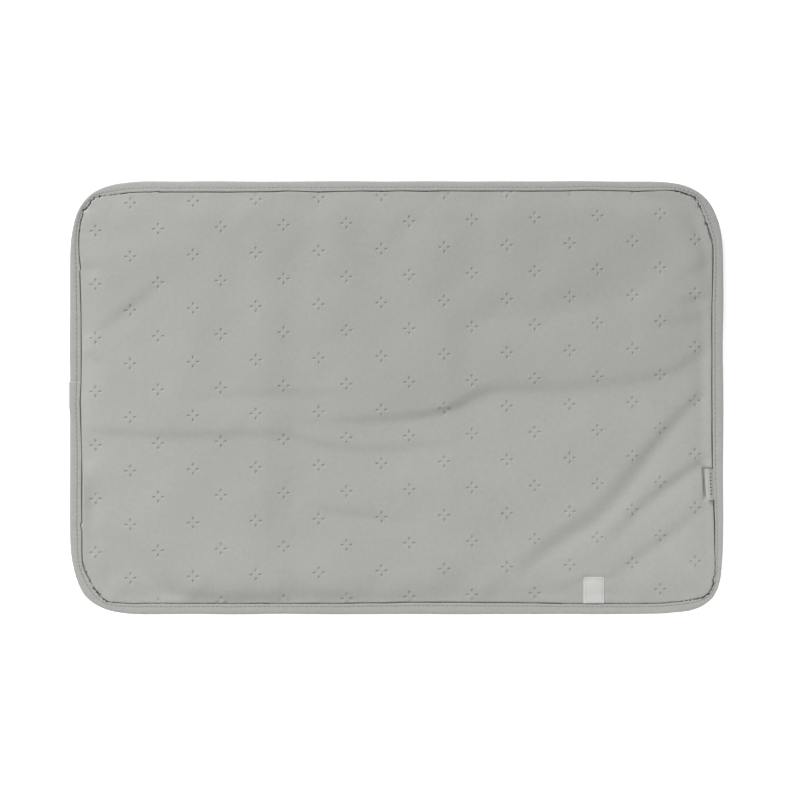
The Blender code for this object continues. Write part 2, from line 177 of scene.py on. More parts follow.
# Creases, as (recovery, lead, lead_run, points). The face drops across each, towards the right of its
# direction. A point is (x, y, drop, width) in mm, in the middle of the drop. recovery is the run over
# which the face comes up again, and lead is how far it has sunk (or, if negative, risen) before the
# drop, over lead_run.
CREASES = (
    (48, -0.6, 40, ((-290, -30, 0.2, 9), (-262, -31, 1.0, 9), (-205, -34, 1.1, 10), (-150, -33, 1.1, 10),
        (-101, -33, 1.0, 10), (-72, -42, 1.1, 10), (-24, -47, 1.1, 11), (31, -42, 0.8, 12),
        (62, -41, 0, 14))),
    (100, 1.5, 50, ((-120, -22, 0, 10), (-56, -21, 0.9, 8), (11, -17, 1.7, 7), (50, -9, 2.3, 6.5),
        (74, 3, 2.1, 8), (96, 9, 1.6, 12), (160, 11, 1.4, 15), (215, 17, 1.3, 13), (252, 25, 1.4, 9),
        (272, 38, 1.5, 7), (290, 46, 0.8, 7))),
    (16, 0.2, 14, ((104, -168, 0, 14), (126, -146, 2.2, 16), (150, -127, 3.0, 17), (180, -107, 3.6, 19),
        (206, -80, 3.6, 17), (234, -45, 3.4, 13), (265, -9, 2.2, 11), (290, 14, 0.6, 8))),
    (14, 0.15, 10, ((186, -140, 0, 10), (210, -115, 1.8, 10), (230, -94, 2.8, 11), (255, -75, 3.0, 10),
        (281, -57, 2.2, 8), (292, -50, 0.5, 8))),
    (13, 0.15, 10, ((186, -168, 0, 8), (214, -150, 1.3, 9), (243, -130, 1.8, 9), (268, -110, 1.4, 9),
        (290, -94, 0, 8))),
    (8, 0.0, 5, ((142, -178, 0.3, 5), (158, -171, 0.8, 5), (174, -165, 0.6, 5))),
    (8, 0.0, 5, ((191, -165, 0.5, 5), (203, -163, 0.6, 5), (216, -164, 0, 5))),
    (14, -0.25, 10, ((-284, 60, 0.3, 7), (-268, 67, 0.8, 7), (-243, 86, 0.9, 9), (-214, 110, 0.1, 10))),
    (8, 0.0, 4, ((-292, 123, 1.1, 6), (-279, 121, 1.1, 6), (-266, 120, 0, 7))),
    (9, 0.0, 5, ((-290, 42, 0.8, 6), (-276, 36, 0.8, 6), (-262, 28, 0, 8))),
    (20, 0.1, 12, ((-84, -98, 0, 8), (-50, -104, 0.8, 10), (-10, -110, 0.7, 11), (30, -112, 0, 10))),
    (18, 0.2, 12, ((-200, 0, 0, 8), (-150, 3, 0.6, 9), (-88, 5, 0.7, 9), (-33, 0, 0, 10))),
    (8, 0.0, 6, ((250, 87, 0, 6), (270, 90, 1.0, 6), (292, 95, 1.0, 6))),
    (10, 0.0, 8, ((228, 67, 0, 7), (260, 71, 0.8, 7), (292, 78, 0.8, 7))),
    (9, 0.0, 6, ((255, 112, 0, 6), (275, 118, 0.7, 6), (292, 126, 0.7, 6))),
    (12, 0.1, 10, ((289, 92, 0.2, 9), (284, 125, 1.0, 13), (268, 156, 1.2, 15), (240, 178, 0.8, 14),
        (215, 188, 0, 10))),
    (26, 0.3, 20, ((40, 70, 0, 24), (90, 84, 0.8, 28), (150, 92, 0.8, 30), (215, 112, 0.4, 30),
        (262, 140, 0, 28))),
    (22, -0.2, 20, ((-292, -62, 1.2, 28), (-262, -100, 2.6, 32), (-236, -138, 2.8, 32),
        (-200, -172, 1.9, 24), (-160, -184, 0.8, 14), (-90, -181, 0.5, 14), (-20, -185, 0.7, 12),
        (60, -183, 0, 10))),
)
FIELD_STEP = 1.25 * MM
FIELD_BLUR = 0.9 * MM

# The cloth simulation that settles the loose cover
SLACK_STRIDE = 4  # its grid takes every fourth point of the field's
SLACK_SCALE = 10.0  # it runs at ten times the real size
SLACK_BORDER = 13 * MM
SLACK_CLING = 0.12
SLACK_X, SLACK_Y = 0.0003, 0.0011  # how much larger the cover is cut than the foam
SLACK_BENDING, SLACK_STRETCH, SLACK_SHEAR = 8.0, 15.0, 8.0
SLACK_FRAMES = 24
SLACK_LIMIT = 0.9 * MM

# The motif: four drops in a diamond, on a staggered grid whose rows slope up to the right
MOTIF_COLUMN = 57.55 * MM
MOTIF_ROW = 49.15 * MM
MOTIF_ORIGIN = (-12.95 * MM, 135.6 * MM)
MOTIF_STAGGER = (25.5 * MM, 24.6 * MM)
MOTIF_SLOPE = 0.030
DROP_CENTRE = 4.0 * MM
DROP_HALF_LENGTH = 1.8 * MM
DROP_HALF_WIDTH = 1.1 * MM
DROP_DEPTH = 0.6 * MM
DROP_RINGS = (1.3, 1.0, 0.72, 0.4)
DROP_SIDES = 12

# The back, and the foam
BACK_Z = 0.12 * MM
BACK_EDGE_Z = 0.95 * MM  # where it lies on the tape's lower leg
FOAM_INSET = 3 * MM
FOAM_Z = 1.6 * MM
COVER_THICKNESS = 0.9 * MM

# The closure patches and the label
LOOP_X = 181.7 * MM
LOOP_HALF_WIDTH = 9.65 * MM
LOOP_TOP_Y = -164.9 * MM
LOOP_END_Y = -192 * MM
LABEL_TOP_Y = -65.6 * MM
LABEL_LENGTH = 28.4 * MM
LABEL_X = HALF_LENGTH - 13.2 * MM  # the middle of what shows
LOOP_THICKNESS = 0.72 * MM
LOOP_DENT = 0.35 * MM  # how far each of the two presses into the face
LABEL_DENT = 0.9 * MM

GRID = 3.2 * MM
FOLD_GRID = 1.0 * MM
PATCH_GRID = 1.1 * MM
RING_OFFSETS = (-2.6, -0.6, 0.2, 0.5, 0.8, 1.2, 1.8, 2.8, 4.4)  # mm in from the tape's edge

# ---------------- small tools


def smooth(share):
    share = np.clip(share, 0, 1)
    return share * share * (3 - 2 * share)


def ripple(x, y, wavelength, seed, waves=9):
    """A smooth random field of about unit height, made of plane waves."""
    random = np.random.default_rng(seed)
    total = np.zeros(np.broadcast(x, y).shape)
    for _ in range(waves):
        heading, phase = random.uniform(0, 2 * math.pi, 2)
        number = 2 * math.pi / wavelength * random.uniform(0.7, 1.4)
        total += np.sin(number * (x * math.cos(heading) + y * math.sin(heading)) + phase)
    return total / math.sqrt(waves)


def vertex_normals(points, faces):
    """Area-weighted vertex normals of triangles or quads."""
    a, b, c, d = (points[faces[:, index]] for index in (0, 1, -2, -1))
    facing = np.cross(c - a, d - b) if faces.shape[1] == 4 else np.cross(b - a, d - a)
    normals = np.zeros_like(points)
    for corner in range(faces.shape[1]):
        np.add.at(normals, faces[:, corner], facing)
    length = np.linalg.norm(normals, axis=1, keepdims=True)
    return normals / np.maximum(length, 1e-12)


def catmull_rom(route, steps):
    """A smooth line through the points, with so many steps between each two."""
    padded = np.vstack([2 * route[0] - route[1], route, 2 * route[-1] - route[-2]])
    share = (np.arange(steps) / steps)[:, None]
    parts = []
    for a, b, c, d in zip(padded, padded[1:], padded[2:], padded[3:]):
        linear, square, cube = (c - a) / 2, a - 2.5 * b + 2 * c - d / 2, (d - a) / 2 + 1.5 * (b - c)
        parts.append(b + linear * share + square * share**2 + cube * share**3)
    return np.vstack(parts + [route[-1:]])


def spaced(low, high, step):
    """Even values from low to high, about a step apart."""
    return np.linspace(low, high, max(2, round((high - low) / step) + 1))


def circle(sides):
    """Evenly spaced directions."""
    return np.arange(sides) / sides * 2 * math.pi


def grid_faces(rows, columns, closed_rows=False, closed_columns=False):
    """Quads of a grid of points whose index is row * columns + column."""
    row = np.arange(rows if closed_rows else rows - 1)[:, None]
    column = np.arange(columns if closed_columns else columns - 1)[None, :]
    next_row, next_column = (row + 1) % rows, (column + 1) % columns
    corners = (
        row * columns + column,
        row * columns + next_column,
        next_row * columns + next_column,
        next_row * columns + column,
    )
    return np.stack([corner.ravel() for corner in corners], axis=1)


def add_vectors(data, name, values):
    layer = data.attributes.new(name, "FLOAT_VECTOR", "POINT")
    layer.data.foreach_set("vector", np.ascontiguousarray(values, np.float32).ravel())


def make_object(name, points, faces, material, normals=None, detail=None):
    """A mesh object. rest keeps where its points were made, for the materials. detail holds, for
    each point, how far it is pressed in (0 to 1), which the materials darken there as painted
    shade, and two numbers for the weave."""
    data = bpy.data.meshes.new(name)
    data.from_pydata(points.tolist(), [], faces.tolist())
    data.shade_smooth()
    add_vectors(data, "rest", points)
    if detail is not None:
        add_vectors(data, "detail", detail)
    if normals is not None:
        data.normals_split_custom_set_from_vertices(normals.tolist())
    piece = add_object(name, data)
    data.materials.append(material)
    return piece


def add_object(name, data):
    added = bpy.data.objects.new(name, data)
    bpy.context.scene.collection.objects.link(added)
    return added


HALVES = (
    ("west", -1, "left_panel", "middle_panel", -FOLD_X),
    ("east", 1, "middle_panel", "right_panel", FOLD_X),
)


def make_halves(name, points, faces, material, nodes, detail=None):
    """Cuts a whole mesh at x = 0 and hides the CAD nodes that each half stands for. nodes go by half."""
    normals = vertex_normals(points, faces)
    middle = points[faces, 0].mean(1)
    pieces = []
    for half, side, body_a, body_b, fold in HALVES:
        chosen = faces[middle * side > 0]
        used, remade = np.unique(chosen, return_inverse=True)
        part = None if detail is None else detail[used]
        remade = remade.reshape(chosen.shape)
        piece = make_object(f"{name}_{half}", points[used], remade, material, normals[used], part)
        start, end = (fold - FOLD_REACH, 0, 0), (fold + FOLD_REACH, 0, 0)
        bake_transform(piece)
        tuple(start)
        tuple(end)
        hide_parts(*nodes[half])
        pieces.append(piece)
    return pieces


def split_nodes(name, middle=("middle",)):
    """The CAD nodes that each half of a sewn piece stands for. Both halves share the middle ones."""
    shared = [f"{name}_{part}" for part in middle]
    return {"west": [f"{name}_left"] + shared, "east": [f"{name}_right"] + shared}


# ---------------- outline


def corner_offset(turn):
    """From a corner's centre to its curve, where the outward normal points along turn."""
    normal = np.stack([np.cos(turn), np.sin(turn)], axis=-1)
    along = np.abs(normal) ** (1 / (CORNER_POWER - 1))
    scale = (along**CORNER_POWER).sum(-1, keepdims=True) ** (-1 / CORNER_POWER)
    return np.sign(normal) * along * scale * CORNER_REACH


def dense_outline():
    """The CAD outline, counter-clockwise from the middle of the back: points, the outward normals'
    directions, and distances along."""
    quarter = np.linspace(1e-4, math.pi / 2 - 1e-4, 240)
    turn = np.concatenate([[0]] + [math.pi / 2 * part + quarter for part in range(4)] + [[math.pi * 2]])
    turn += math.pi / 2
    offset = corner_offset(turn)
    centre = np.array([HALF_LENGTH - CORNER_REACH, HALF_WIDTH - CORNER_REACH])
    points = offset + np.sign(offset) * centre
    points[0] = points[-1] = (0, HALF_WIDTH)
    along = np.concatenate([[0], np.cumsum(np.linalg.norm(np.diff(points, axis=0), axis=1))])
    return points, turn, along


DENSE_POINTS, DENSE_TURN, DENSE_ALONG = dense_outline()
PERIMETER = DENSE_ALONG[-1]


def outline_at(along):
    """Points of the CAD outline, the outward normals' directions, and the normals."""
    along = np.asarray(along) % PERIMETER
    points = np.stack([np.interp(along, DENSE_ALONG, DENSE_POINTS[:, axis]) for axis in (0, 1)], axis=-1)
    turn = np.interp(along, DENSE_ALONG, DENSE_TURN)
    return points, turn, np.stack([np.cos(turn), np.sin(turn)], axis=-1)


def even_stations(step):
    """Evenly spaced distances along the outline. Two of them lie at x = 0."""
    count = 4 * round(PERIMETER / step / 4)
    return np.arange(count) * PERIMETER / count


def edge_distance(x, y):
    """Distance in from the CAD outline, and the direction of the nearest outward normal."""
    u = (np.abs(x) - HALF_LENGTH) / CORNER_REACH + 1
    v = (np.abs(y) - HALF_WIDTH) / CORNER_REACH + 1
    in_corner = (u > 0) & (v > 0)
    u_in, v_in = np.maximum(u, 1e-6), np.maximum(v, 1e-6)
    level = (u_in**CORNER_POWER + v_in**CORNER_POWER) ** (1 / CORNER_POWER)
    steep = np.hypot((u_in / level) ** (CORNER_POWER - 1), (v_in / level) ** (CORNER_POWER - 1))
    distance = np.where(in_corner, (1 - level) / steep, np.minimum(1 - u, 1 - v)) * CORNER_REACH
    corner_turn = np.arctan2(v_in ** (CORNER_POWER - 1), u_in ** (CORNER_POWER - 1))
    turn = np.where(in_corner, corner_turn, np.where(u > v, 0, math.pi / 2))
    turn = np.arctan2(np.sin(turn) * np.sign(y + 1e-9), np.cos(turn) * np.sign(x + 1e-9))
    return distance, turn


def by_turn(turn, table):
    """A table's value in a direction."""
    degrees, values = np.array(table).T
    return np.interp(np.degrees(turn) % 360, degrees, values)


def lap_bump(x, y):
    """1 where the tape's ends lie over each other, and 0 elsewhere."""
    ends = np.where(y < LAP_Y, 1.0, 0.0) * smooth((y - LAP_END_Y) / (16 * MM))
    return np.where(x < -HALF_LENGTH + NEAR_SIDE, ends, 0.0)


def edge_shift(turn, x, y):
    """How far the tape's outer edge strays outwards from the CAD outline."""
    shift = by_turn(turn, EDGE_SHIFT) * MM + 0.2 * MM * ripple(x, y, 85 * MM, seed=2)
    return shift + LAP_STEP * lap_bump(x, y)


def pit_strength(turn):
    """1 in the middle of a strong pit of the tape's edge, and 0 away from the pits."""
    degrees = np.degrees(DENSE_TURN)
    along = np.interp((np.degrees(turn) - 90) % 360 + 90, degrees, DENSE_ALONG)
    strength = np.zeros_like(along)
    for direction, size in PITS:
        centre = np.interp((direction - 90) % 360 + 90, degrees, DENSE_ALONG)
        strength = np.maximum(strength, size * np.exp(-(((along - centre) / PIT_WIDTH) ** 2)))
    return strength


def gathered_steps(turn):
    """The small uneven steps, in mm, where the tape is eased round a corner."""
    degrees = np.degrees(turn)
    steps = (degrees / 3.1 + 0.4 * np.sin(degrees * 0.61) + 0.25 * np.sin(degrees * 1.37)) % 1
    return (np.minimum(steps, 4 * (1 - steps)) - 0.4) * 1.4 * cornerness(turn)


def inner_edge(turn, x, y):
    """How far in from the CAD outline the tape's inner edge lies."""
    base = by_turn(turn, CORNER_INNER)
    straight_x = np.abs(x) < HALF_LENGTH - CORNER_REACH
    straight_y = np.abs(y) < HALF_WIDTH - CORNER_REACH
    upright = np.abs(np.sin(turn)) > 0.707
    for side, place, chosen in (
        ("right", y, straight_y & ~upright & (x > 0)),
        ("back", x, straight_x & upright & (y > 0)),
        ("left", y, straight_y & ~upright & (x < 0)),
        ("front", x, straight_x & upright & (y < 0)),
    ):
        places, values = np.array(SIDE_INNER[side], float).T
        base = np.where(chosen, np.interp(place / MM, places, values), base)
    wander = 0.12 * ripple(x, y, 40 * MM, seed=3)
    return (base + gathered_steps(turn) + wander - 1.3 * pit_strength(turn)) * MM


def cornerness(turn):
    """0 along the sides and 1 round the corners."""
    away = np.abs((np.degrees(turn) + 45) % 90 - 45)
    return smooth((away - 3) / 12)


# ---------------- heights of the face


def crease_field():
    """The corner of an even grid of points, and what the creases take off the face at each."""
    half_x, half_y = HALF_LENGTH + 10 * MM, HALF_WIDTH + 10 * MM
    count_x, count_y = round(2 * half_x / FIELD_STEP) + 1, round(2 * half_y / FIELD_STEP) + 1
    x, y = np.meshgrid(np.linspace(-half_x, half_x, count_x), np.linspace(-half_y, half_y, count_y))
    total = np.zeros_like(x)
    for recovery, lead, lead_run, points in CREASES:
        signed, drop, width = beside_crease(np.array(points, float), x, y)
        past = signed + width / 2
        sunk = lead * np.clip(drop / 0.4, 0, 1)
        before = sunk * np.exp(np.minimum(past, 0) / lead_run)
        after = (sunk + drop * smooth(past / width)) * np.exp(-np.maximum(past - width, 0) / recovery)
        total += np.where(past > 0, after, before) * MM
    return (-half_x, -half_y), blurred(total, FIELD_BLUR / FIELD_STEP)


def beside_crease(points, x, y):
    """How far the grid's points lie to the right of a crease, and its drop and width there, in mm."""
    route = catmull_rom(points, 8)
    best = np.full(x.shape, 1e9)
    signed, drop, width = (np.zeros_like(x) for _ in range(3))
    for start, end in zip(route, route[1:]):
        length = math.hypot(*(end - start)[:2])
        step_x, step_y = (end - start)[:2] / length
        along = (x / MM - start[0]) * step_x + (y / MM - start[1]) * step_y
        aside = (x / MM - start[0]) * step_y - (y / MM - start[1]) * step_x
        share = np.clip(along / length, 0, 1)
        beyond = along - share * length
        away = np.hypot(beyond, aside)
        nearer = away < best
        best = np.where(nearer, away, best)
        signed = np.where(nearer, aside, signed)
        fade = np.exp(-((beyond / 6) ** 2))
        drop = np.where(nearer, np.maximum(start[2] + (end[2] - start[2]) * share, 0) * fade, drop)
        width = np.where(nearer, np.maximum(start[3] + (end[3] - start[3]) * share, 2), width)
    return signed, drop, width


def blurred(values, sigma):
    """A gaussian blur of a 2D array, with sigma in cells."""
    reach = max(1, round(3 * sigma))
    kernel = np.exp(-((np.arange(-reach, reach + 1) / sigma) ** 2) / 2)
    kernel /= kernel.sum()
    for axis in (0, 1):
        padding = [(reach, reach) if axis == part else (0, 0) for part in (0, 1)]
        padded = np.pad(values, padding, mode="edge")
        values = np.apply_along_axis(lambda line: np.convolve(line, kernel, "valid"), axis, padded)
    return values


def settle_cover(field):
    """The field again, after the loose cover has settled over the foam in a cloth simulation.

    The cover is a little larger than the foam, is held at the binding, and clings weakly elsewhere."""
    coarse = field[::SLACK_STRIDE, ::SLACK_STRIDE]
    rows, columns = coarse.shape
    row, column = np.mgrid[:rows, :columns] * SLACK_STRIDE * FIELD_STEP
    x, y = column + FIELD_ORIGIN[0], row + FIELD_ORIGIN[1]
    start = np.stack([x, y, -coarse], axis=2).reshape(-1, 3) * SLACK_SCALE
    data = bpy.data.meshes.new("slack")
    data.from_pydata(start.tolist(), [], grid_faces(rows, columns).tolist())
    cover = add_object("slack", data)
    held = (edge_distance(x, y)[0] < SLACK_BORDER).reshape(-1)
    group = cover.vertex_groups.new(name="held")
    group.add(np.flatnonzero(held).tolist(), 1.0, "REPLACE")
    group.add(np.flatnonzero(~held).tolist(), SLACK_CLING, "REPLACE")
    modifier = cover.modifiers.new("cloth", "CLOTH")
    cloth = modifier.settings
    cloth.vertex_group_mass = "held"
    cover.shape_key_add(name="foam")
    cut = cover.shape_key_add(name="cut")
    cut.data.foreach_set("co", (start * (1 + SLACK_X, 1 + SLACK_Y, 1)).reshape(-1))
    cloth.rest_shape_key = cut
    cloth.bending_stiffness = SLACK_BENDING
    cloth.bending_damping = 1.0
    cloth.tension_stiffness = cloth.compression_stiffness = SLACK_STRETCH
    cloth.shear_stiffness = SLACK_SHEAR
    cloth.effector_weights.gravity = 0
    modifier.collision_settings.use_collision = False
    modifier.point_cache.frame_end = SLACK_FRAMES
    for frame in range(1, SLACK_FRAMES + 1):
        bpy.context.scene.frame_set(frame)
    settled = cover.evaluated_get(bpy.context.evaluated_depsgraph_get()).data
    points = np.empty(len(settled.vertices) * 3)
    settled.vertices.foreach_get("co", points)
    change = (start[:, 2] - points.reshape(-1, 3)[:, 2]).reshape(rows, columns) / SLACK_SCALE
    bpy.context.scene.frame_set(1)
    bpy.data.objects.remove(cover)
    bpy.data.meshes.remove(data)
    change = np.round(np.clip(change, -SLACK_LIMIT, SLACK_LIMIT) / MM, 3) * MM
    fine_row, fine_column = np.mgrid[: field.shape[0], : field.shape[1]] / SLACK_STRIDE
    return field + blurred(between(change, fine_row, fine_column), SLACK_STRIDE)


def between(values, row, column):
    """A 2D array's values between its points."""
    i = np.clip(row.astype(int), 0, values.shape[0] - 2)
    j = np.clip(column.astype(int), 0, values.shape[1] - 2)
    a, b = np.clip(column - j, 0, 1), np.clip(row - i, 0, 1)
    low = values[i, j] * (1 - a) + values[i, j + 1] * a
    high = values[i + 1, j] * (1 - a) + values[i + 1, j + 1] * a
    return low * (1 - b) + high * b


FIELD_ORIGIN, CREASE_FIELD = crease_field()
CREASE_FIELD = settle_cover(CREASE_FIELD)


def patch_sink(x, y, centre_x, half_width, low_y, high_y, run):
    """1 under a patch, falling to 0 over run outside it."""
    outside_x = np.abs(x - centre_x) - half_width
    outside_y = np.maximum(y - high_y, low_y - y)
    outside = np.hypot(np.maximum(outside_x, 0), np.maximum(outside_y, 0))
    return smooth(1 - outside / run)


def loop_sink(x, y):
    """The dent under the loop patch."""
    return patch_sink(x, y, LOOP_X, LOOP_HALF_WIDTH, LOOP_END_Y, LOOP_TOP_Y, 2.5 * MM)


def label_sink(x, y):
    """The dent that the label's fold presses into the face."""
    return patch_sink(x, y, LABEL_X, 4.1 * MM, LABEL_TOP_Y - LABEL_LENGTH, LABEL_TOP_Y, 1.1 * MM)


def face_height(x, y):
    """The face without its motif."""
    x, y = np.asarray(x, float), np.asarray(y, float)
    distance, turn = edge_distance(x, y)
    inside = distance - inner_edge(turn, x, y)
    pit = pit_strength(turn)
    gap = GAP_WIDTH * (1 + 0.3 * cornerness(turn)) + 0.6 * MM * pit
    shoulder = smooth((inside - gap) / SHOULDER_RUN)
    at_edge_x, at_edge_y = x + distance * np.cos(turn), y + distance * np.sin(turn)
    run = CROWN_RUN * (1 + 0.3 * ripple(at_edge_x, at_edge_y, 48 * MM, seed=12))
    rise = np.sin(np.clip((inside - 2 * GAP_WIDTH) / run, 0, 1) * math.pi / 2)
    crown = CROWN_Z
    for side, away in (("back", HALF_WIDTH - y), ("left", HALF_LENGTH + x), ("right", HALF_LENGTH - x)):
        crown = crown - SAGS[side][0] * np.exp(-np.maximum(away, 0) / SAGS[side][1])
    radial = ripple(at_edge_x, at_edge_y, 11 * MM, seed=8) * np.exp(-np.maximum(inside, 0) / (9 * MM))
    soft = 0.14 * MM * ripple(x, y, 80 * MM, seed=5) + 0.04 * MM * ripple(x, y, 24 * MM, seed=6)
    row, column = (y - FIELD_ORIGIN[1]) / FIELD_STEP, (x - FIELD_ORIGIN[0]) / FIELD_STEP
    loose = (soft - between(CREASE_FIELD, row, column)) * smooth((inside - 1 * MM) / (9 * MM))
    pucker = 0.1 * MM * radial * shoulder + pit * PIT_DEPTH * np.exp(-np.abs(inside) / (1.3 * MM))
    height = GAP_Z + (SHOULDER_Z - GAP_Z) * shoulder + (crown - SHOULDER_Z) * rise + loose - pucker
    return height - LOOP_DENT * loop_sink(x, y) - LABEL_DENT * label_sink(x, y)


# ---------------- the motif


def motif_centres():
    """Where the motif is whole or partly seen on the face."""
    centres = []
    for offset_x, offset_y in ((0, 0), MOTIF_STAGGER):
        for column in range(-6, 7):
            for row in range(-8, 5):
                x = MOTIF_ORIGIN[0] + offset_x + column * MOTIF_COLUMN
                y = MOTIF_ORIGIN[1] + offset_y + row * MOTIF_ROW + MOTIF_SLOPE * (x - MOTIF_ORIGIN[0])
                centres.append((x, y))
    centres = np.array(centres)
    return centres[edge_distance(*centres.T)[0] > 3 * MM]


MOTIFS = motif_centres()
DROP_TURNS = math.atan(MOTIF_SLOPE) + np.arange(4) * math.pi / 2


def drop_width(t):
    """Half a drop's width, t along it from -1 to 1. It is a little wider at its outer end."""
    return DROP_HALF_WIDTH * (1 + 0.22 * np.clip(t, -1, 1))


def nearest_drop(x, y):
    """For each point, how far it is from the nearest drop's middle. The drop's rim is at 1."""
    radius = np.full(x.shape, 9.0)
    for centre_x, centre_y in MOTIFS:
        near = np.nonzero((np.abs(x - centre_x) < 8 * MM) & (np.abs(y - centre_y) < 8 * MM))[0]
        step_x, step_y = x[near] - centre_x, y[near] - centre_y
        for turn in DROP_TURNS:
            out = step_x * math.cos(turn) + step_y * math.sin(turn)
            across = step_y * math.cos(turn) - step_x * math.sin(turn)
            t = (out - DROP_CENTRE) / DROP_HALF_LENGTH
            radius[near] = np.minimum(radius[near], np.hypot(t, across / drop_width(t)))
    return radius


def drop_points():
    """Rings of points round each drop that is clear of the tape."""
    angles = circle(DROP_SIDES)
    local = [np.array([[DROP_CENTRE, 0]])]
    for ring in DROP_RINGS:
        t = np.cos(angles) * ring
        across = np.sin(angles) * ring * drop_width(t)
        local.append(np.stack([DROP_CENTRE + DROP_HALF_LENGTH * t, across], axis=1))
    local = np.vstack(local)
    points = []
    for centre in MOTIFS:
        for turn in DROP_TURNS:
            c, s = math.cos(turn), math.sin(turn)
            points.append(centre + local @ np.array([[c, s], [-s, c]]))
    points = np.vstack(points)
    distance, turn = edge_distance(*points.T)
    return points[distance > inner_edge(turn, *points.T) + 5 * MM]


# ---------------- meshing a sheet in plan


def grid_lines(grid):
    """X and Y values of a sheet's grid, closer together over the folds."""
    bend = FOLD_REACH + 2 * MM
    right = np.concatenate([
        spaced(0, FOLD_X - bend, grid)[:-1],
        spaced(FOLD_X - bend, FOLD_X + bend, FOLD_GRID)[:-1],
        spaced(FOLD_X + bend, HALF_LENGTH, grid),
    ])
    return np.concatenate([-right[:0:-1], right]), spaced(-HALF_WIDTH, HALF_WIDTH, grid)


def edge_rings(edge, offsets, step):
    """Closed rings of points, so many mm in from an edge, each with two points at x = 0."""
    points, turn, normals = outline_at(even_stations(step))
    inset = edge(turn, *points.T)
    return [points - normals * (inset + offset * MM)[:, None] for offset in offsets]


def fill_points(edge, offsets, grid, zones):
    """The grid's points inside the last ring, closer together in each zone (x, y, half sizes)."""
    lines_x, lines_y = grid_lines(grid)
    x, y = (part.ravel() for part in np.meshgrid(lines_x, lines_y))
    keep = np.ones(x.shape, bool)
    extra = []
    for zone_x, zone_y, half_x, half_y in zones:
        keep &= (np.abs(x - zone_x) > half_x + 0.6 * MM) | (np.abs(y - zone_y) > half_y + 0.6 * MM)
        fine_x = spaced(zone_x - half_x, zone_x + half_x, PATCH_GRID)
        fine_y = spaced(zone_y - half_y, zone_y + half_y, PATCH_GRID)
        extra.append(np.stack([part.ravel() for part in np.meshgrid(fine_x, fine_y)], axis=1))
    points = np.vstack([np.stack([x, y], axis=1)[keep]] + extra)
    distance, turn = edge_distance(*points.T)
    return points[distance > edge(turn, *points.T) + (offsets[-1] + 1.2) * MM]


def triangulate(rings, inner):
    """Triangles over the plan, with edges along x = 0 so that it can be cut there."""
    points = np.vstack(rings + [inner])
    boundary = list(range(len(rings[0])))
    seam = np.nonzero(np.abs(points[:, 0]) < 1e-7)[0]
    seam = seam[np.argsort(points[seam, 1])]
    edges = [(int(a), int(b)) for a, b in zip(seam, seam[1:])]
    coords = [Vector((p[0] / MM, p[1] / MM)) for p in points]
    result = delaunay_2d_cdt(coords, edges, [boundary], 1, 1e-5)
    plan = np.array([tuple(v) for v in result[0]]) * MM
    return plan, np.array([face for face in result[2] if len(face) == 3])


# ---------------- the sewn sheets


def make_face(material):
    """The face and its motif, meshed more closely at the edge and under the two patches."""
    rings = edge_rings(inner_edge, RING_OFFSETS, 1.3 * MM)
    zone_y = (LOOP_TOP_Y + LOOP_END_Y) / 2
    zone = (LOOP_X, zone_y, LOOP_HALF_WIDTH + 4 * MM, (LOOP_TOP_Y - LOOP_END_Y) / 2 + 4 * MM)
    label_zone = (LABEL_X, LABEL_TOP_Y - LABEL_LENGTH / 2, 7.5 * MM, LABEL_LENGTH / 2 + 3.5 * MM)
    inner = fill_points(inner_edge, RING_OFFSETS, GRID, [zone, label_zone])
    inner = inner[nearest_drop(*inner.T) > DROP_RINGS[0] + 0.35]
    plan, faces = triangulate(rings, np.vstack([inner, drop_points()]))
    x, y = plan.T
    # how far each point lies in a drop: it sets the drop's depth and the painted shade there
    dent_and_shade = smooth((1.15 - nearest_drop(x, y)) / 0.65)
    points = np.stack([x, y, face_height(x, y) - dent_and_shade * DROP_DEPTH], axis=1)
    detail = np.stack([dent_and_shade, np.zeros_like(x), np.zeros_like(x)], axis=1)
    nodes = split_nodes("top_cover")
    return make_halves("face", points, faces, material, nodes, detail)


def back_edge(turn, x, y):
    """How far in from the CAD outline the tape's edge lies on the back."""
    width = TAPE_WIDTH * (1 - 0.25 * cornerness(turn)) - edge_shift(turn, x, y)
    return width + 0.3 * MM * ripple(x, y, 45 * MM, seed=4)


HOOK_LOW, HOOK_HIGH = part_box("hook_patch")
HOOK_X = (HOOK_LOW.x + HOOK_HIGH.x) / 2
HOOK_Y = (HOOK_LOW.y + HOOK_HIGH.y) / 2
HOOK_HALF = (HOOK_HIGH.x - HOOK_LOW.x) / 2


def back_height(x, y):
    """The back's outer surface, with the pocket that takes the hook patch."""
    distance, turn = edge_distance(x, y)
    inside = distance - back_edge(turn, x, y)
    uneven = 0.5 * (1 + ripple(x, y, 75 * MM, seed=12)) + 0.08 * ripple(x, y, 22 * MM, seed=13)
    flat = BACK_Z + 0.45 * MM * np.clip(uneven, 0, 2)
    height = flat + (BACK_EDGE_Z - flat) * smooth(1 - (inside + 0.4 * MM) / (2.2 * MM))
    pocket = patch_sink(x, y, HOOK_X, HOOK_HALF, HOOK_LOW.y, HOOK_HIGH.y, 3 * MM)
    return height + pocket * (HOOK_HIGH.z + 0.02 * MM - height)


def make_back(material):
    """The back cover, seen from below."""
    offsets = (-2.6, -0.5, 0.1, 0.8, 1.6, 2.6)
    rings = edge_rings(back_edge, offsets, 2.2 * MM)
    zone = (HOOK_X, HOOK_Y, HOOK_HALF + 4.5 * MM, HOOK_HALF + 4.5 * MM)
    inner = fill_points(back_edge, offsets, 4.5 * MM, [zone])
    plan, faces = triangulate(rings, inner)
    x, y = plan.T
    points = np.stack([x, y, back_height(x, y)], axis=1)
    return make_halves("back", points, faces[:, ::-1], material, split_nodes("back_cover"))


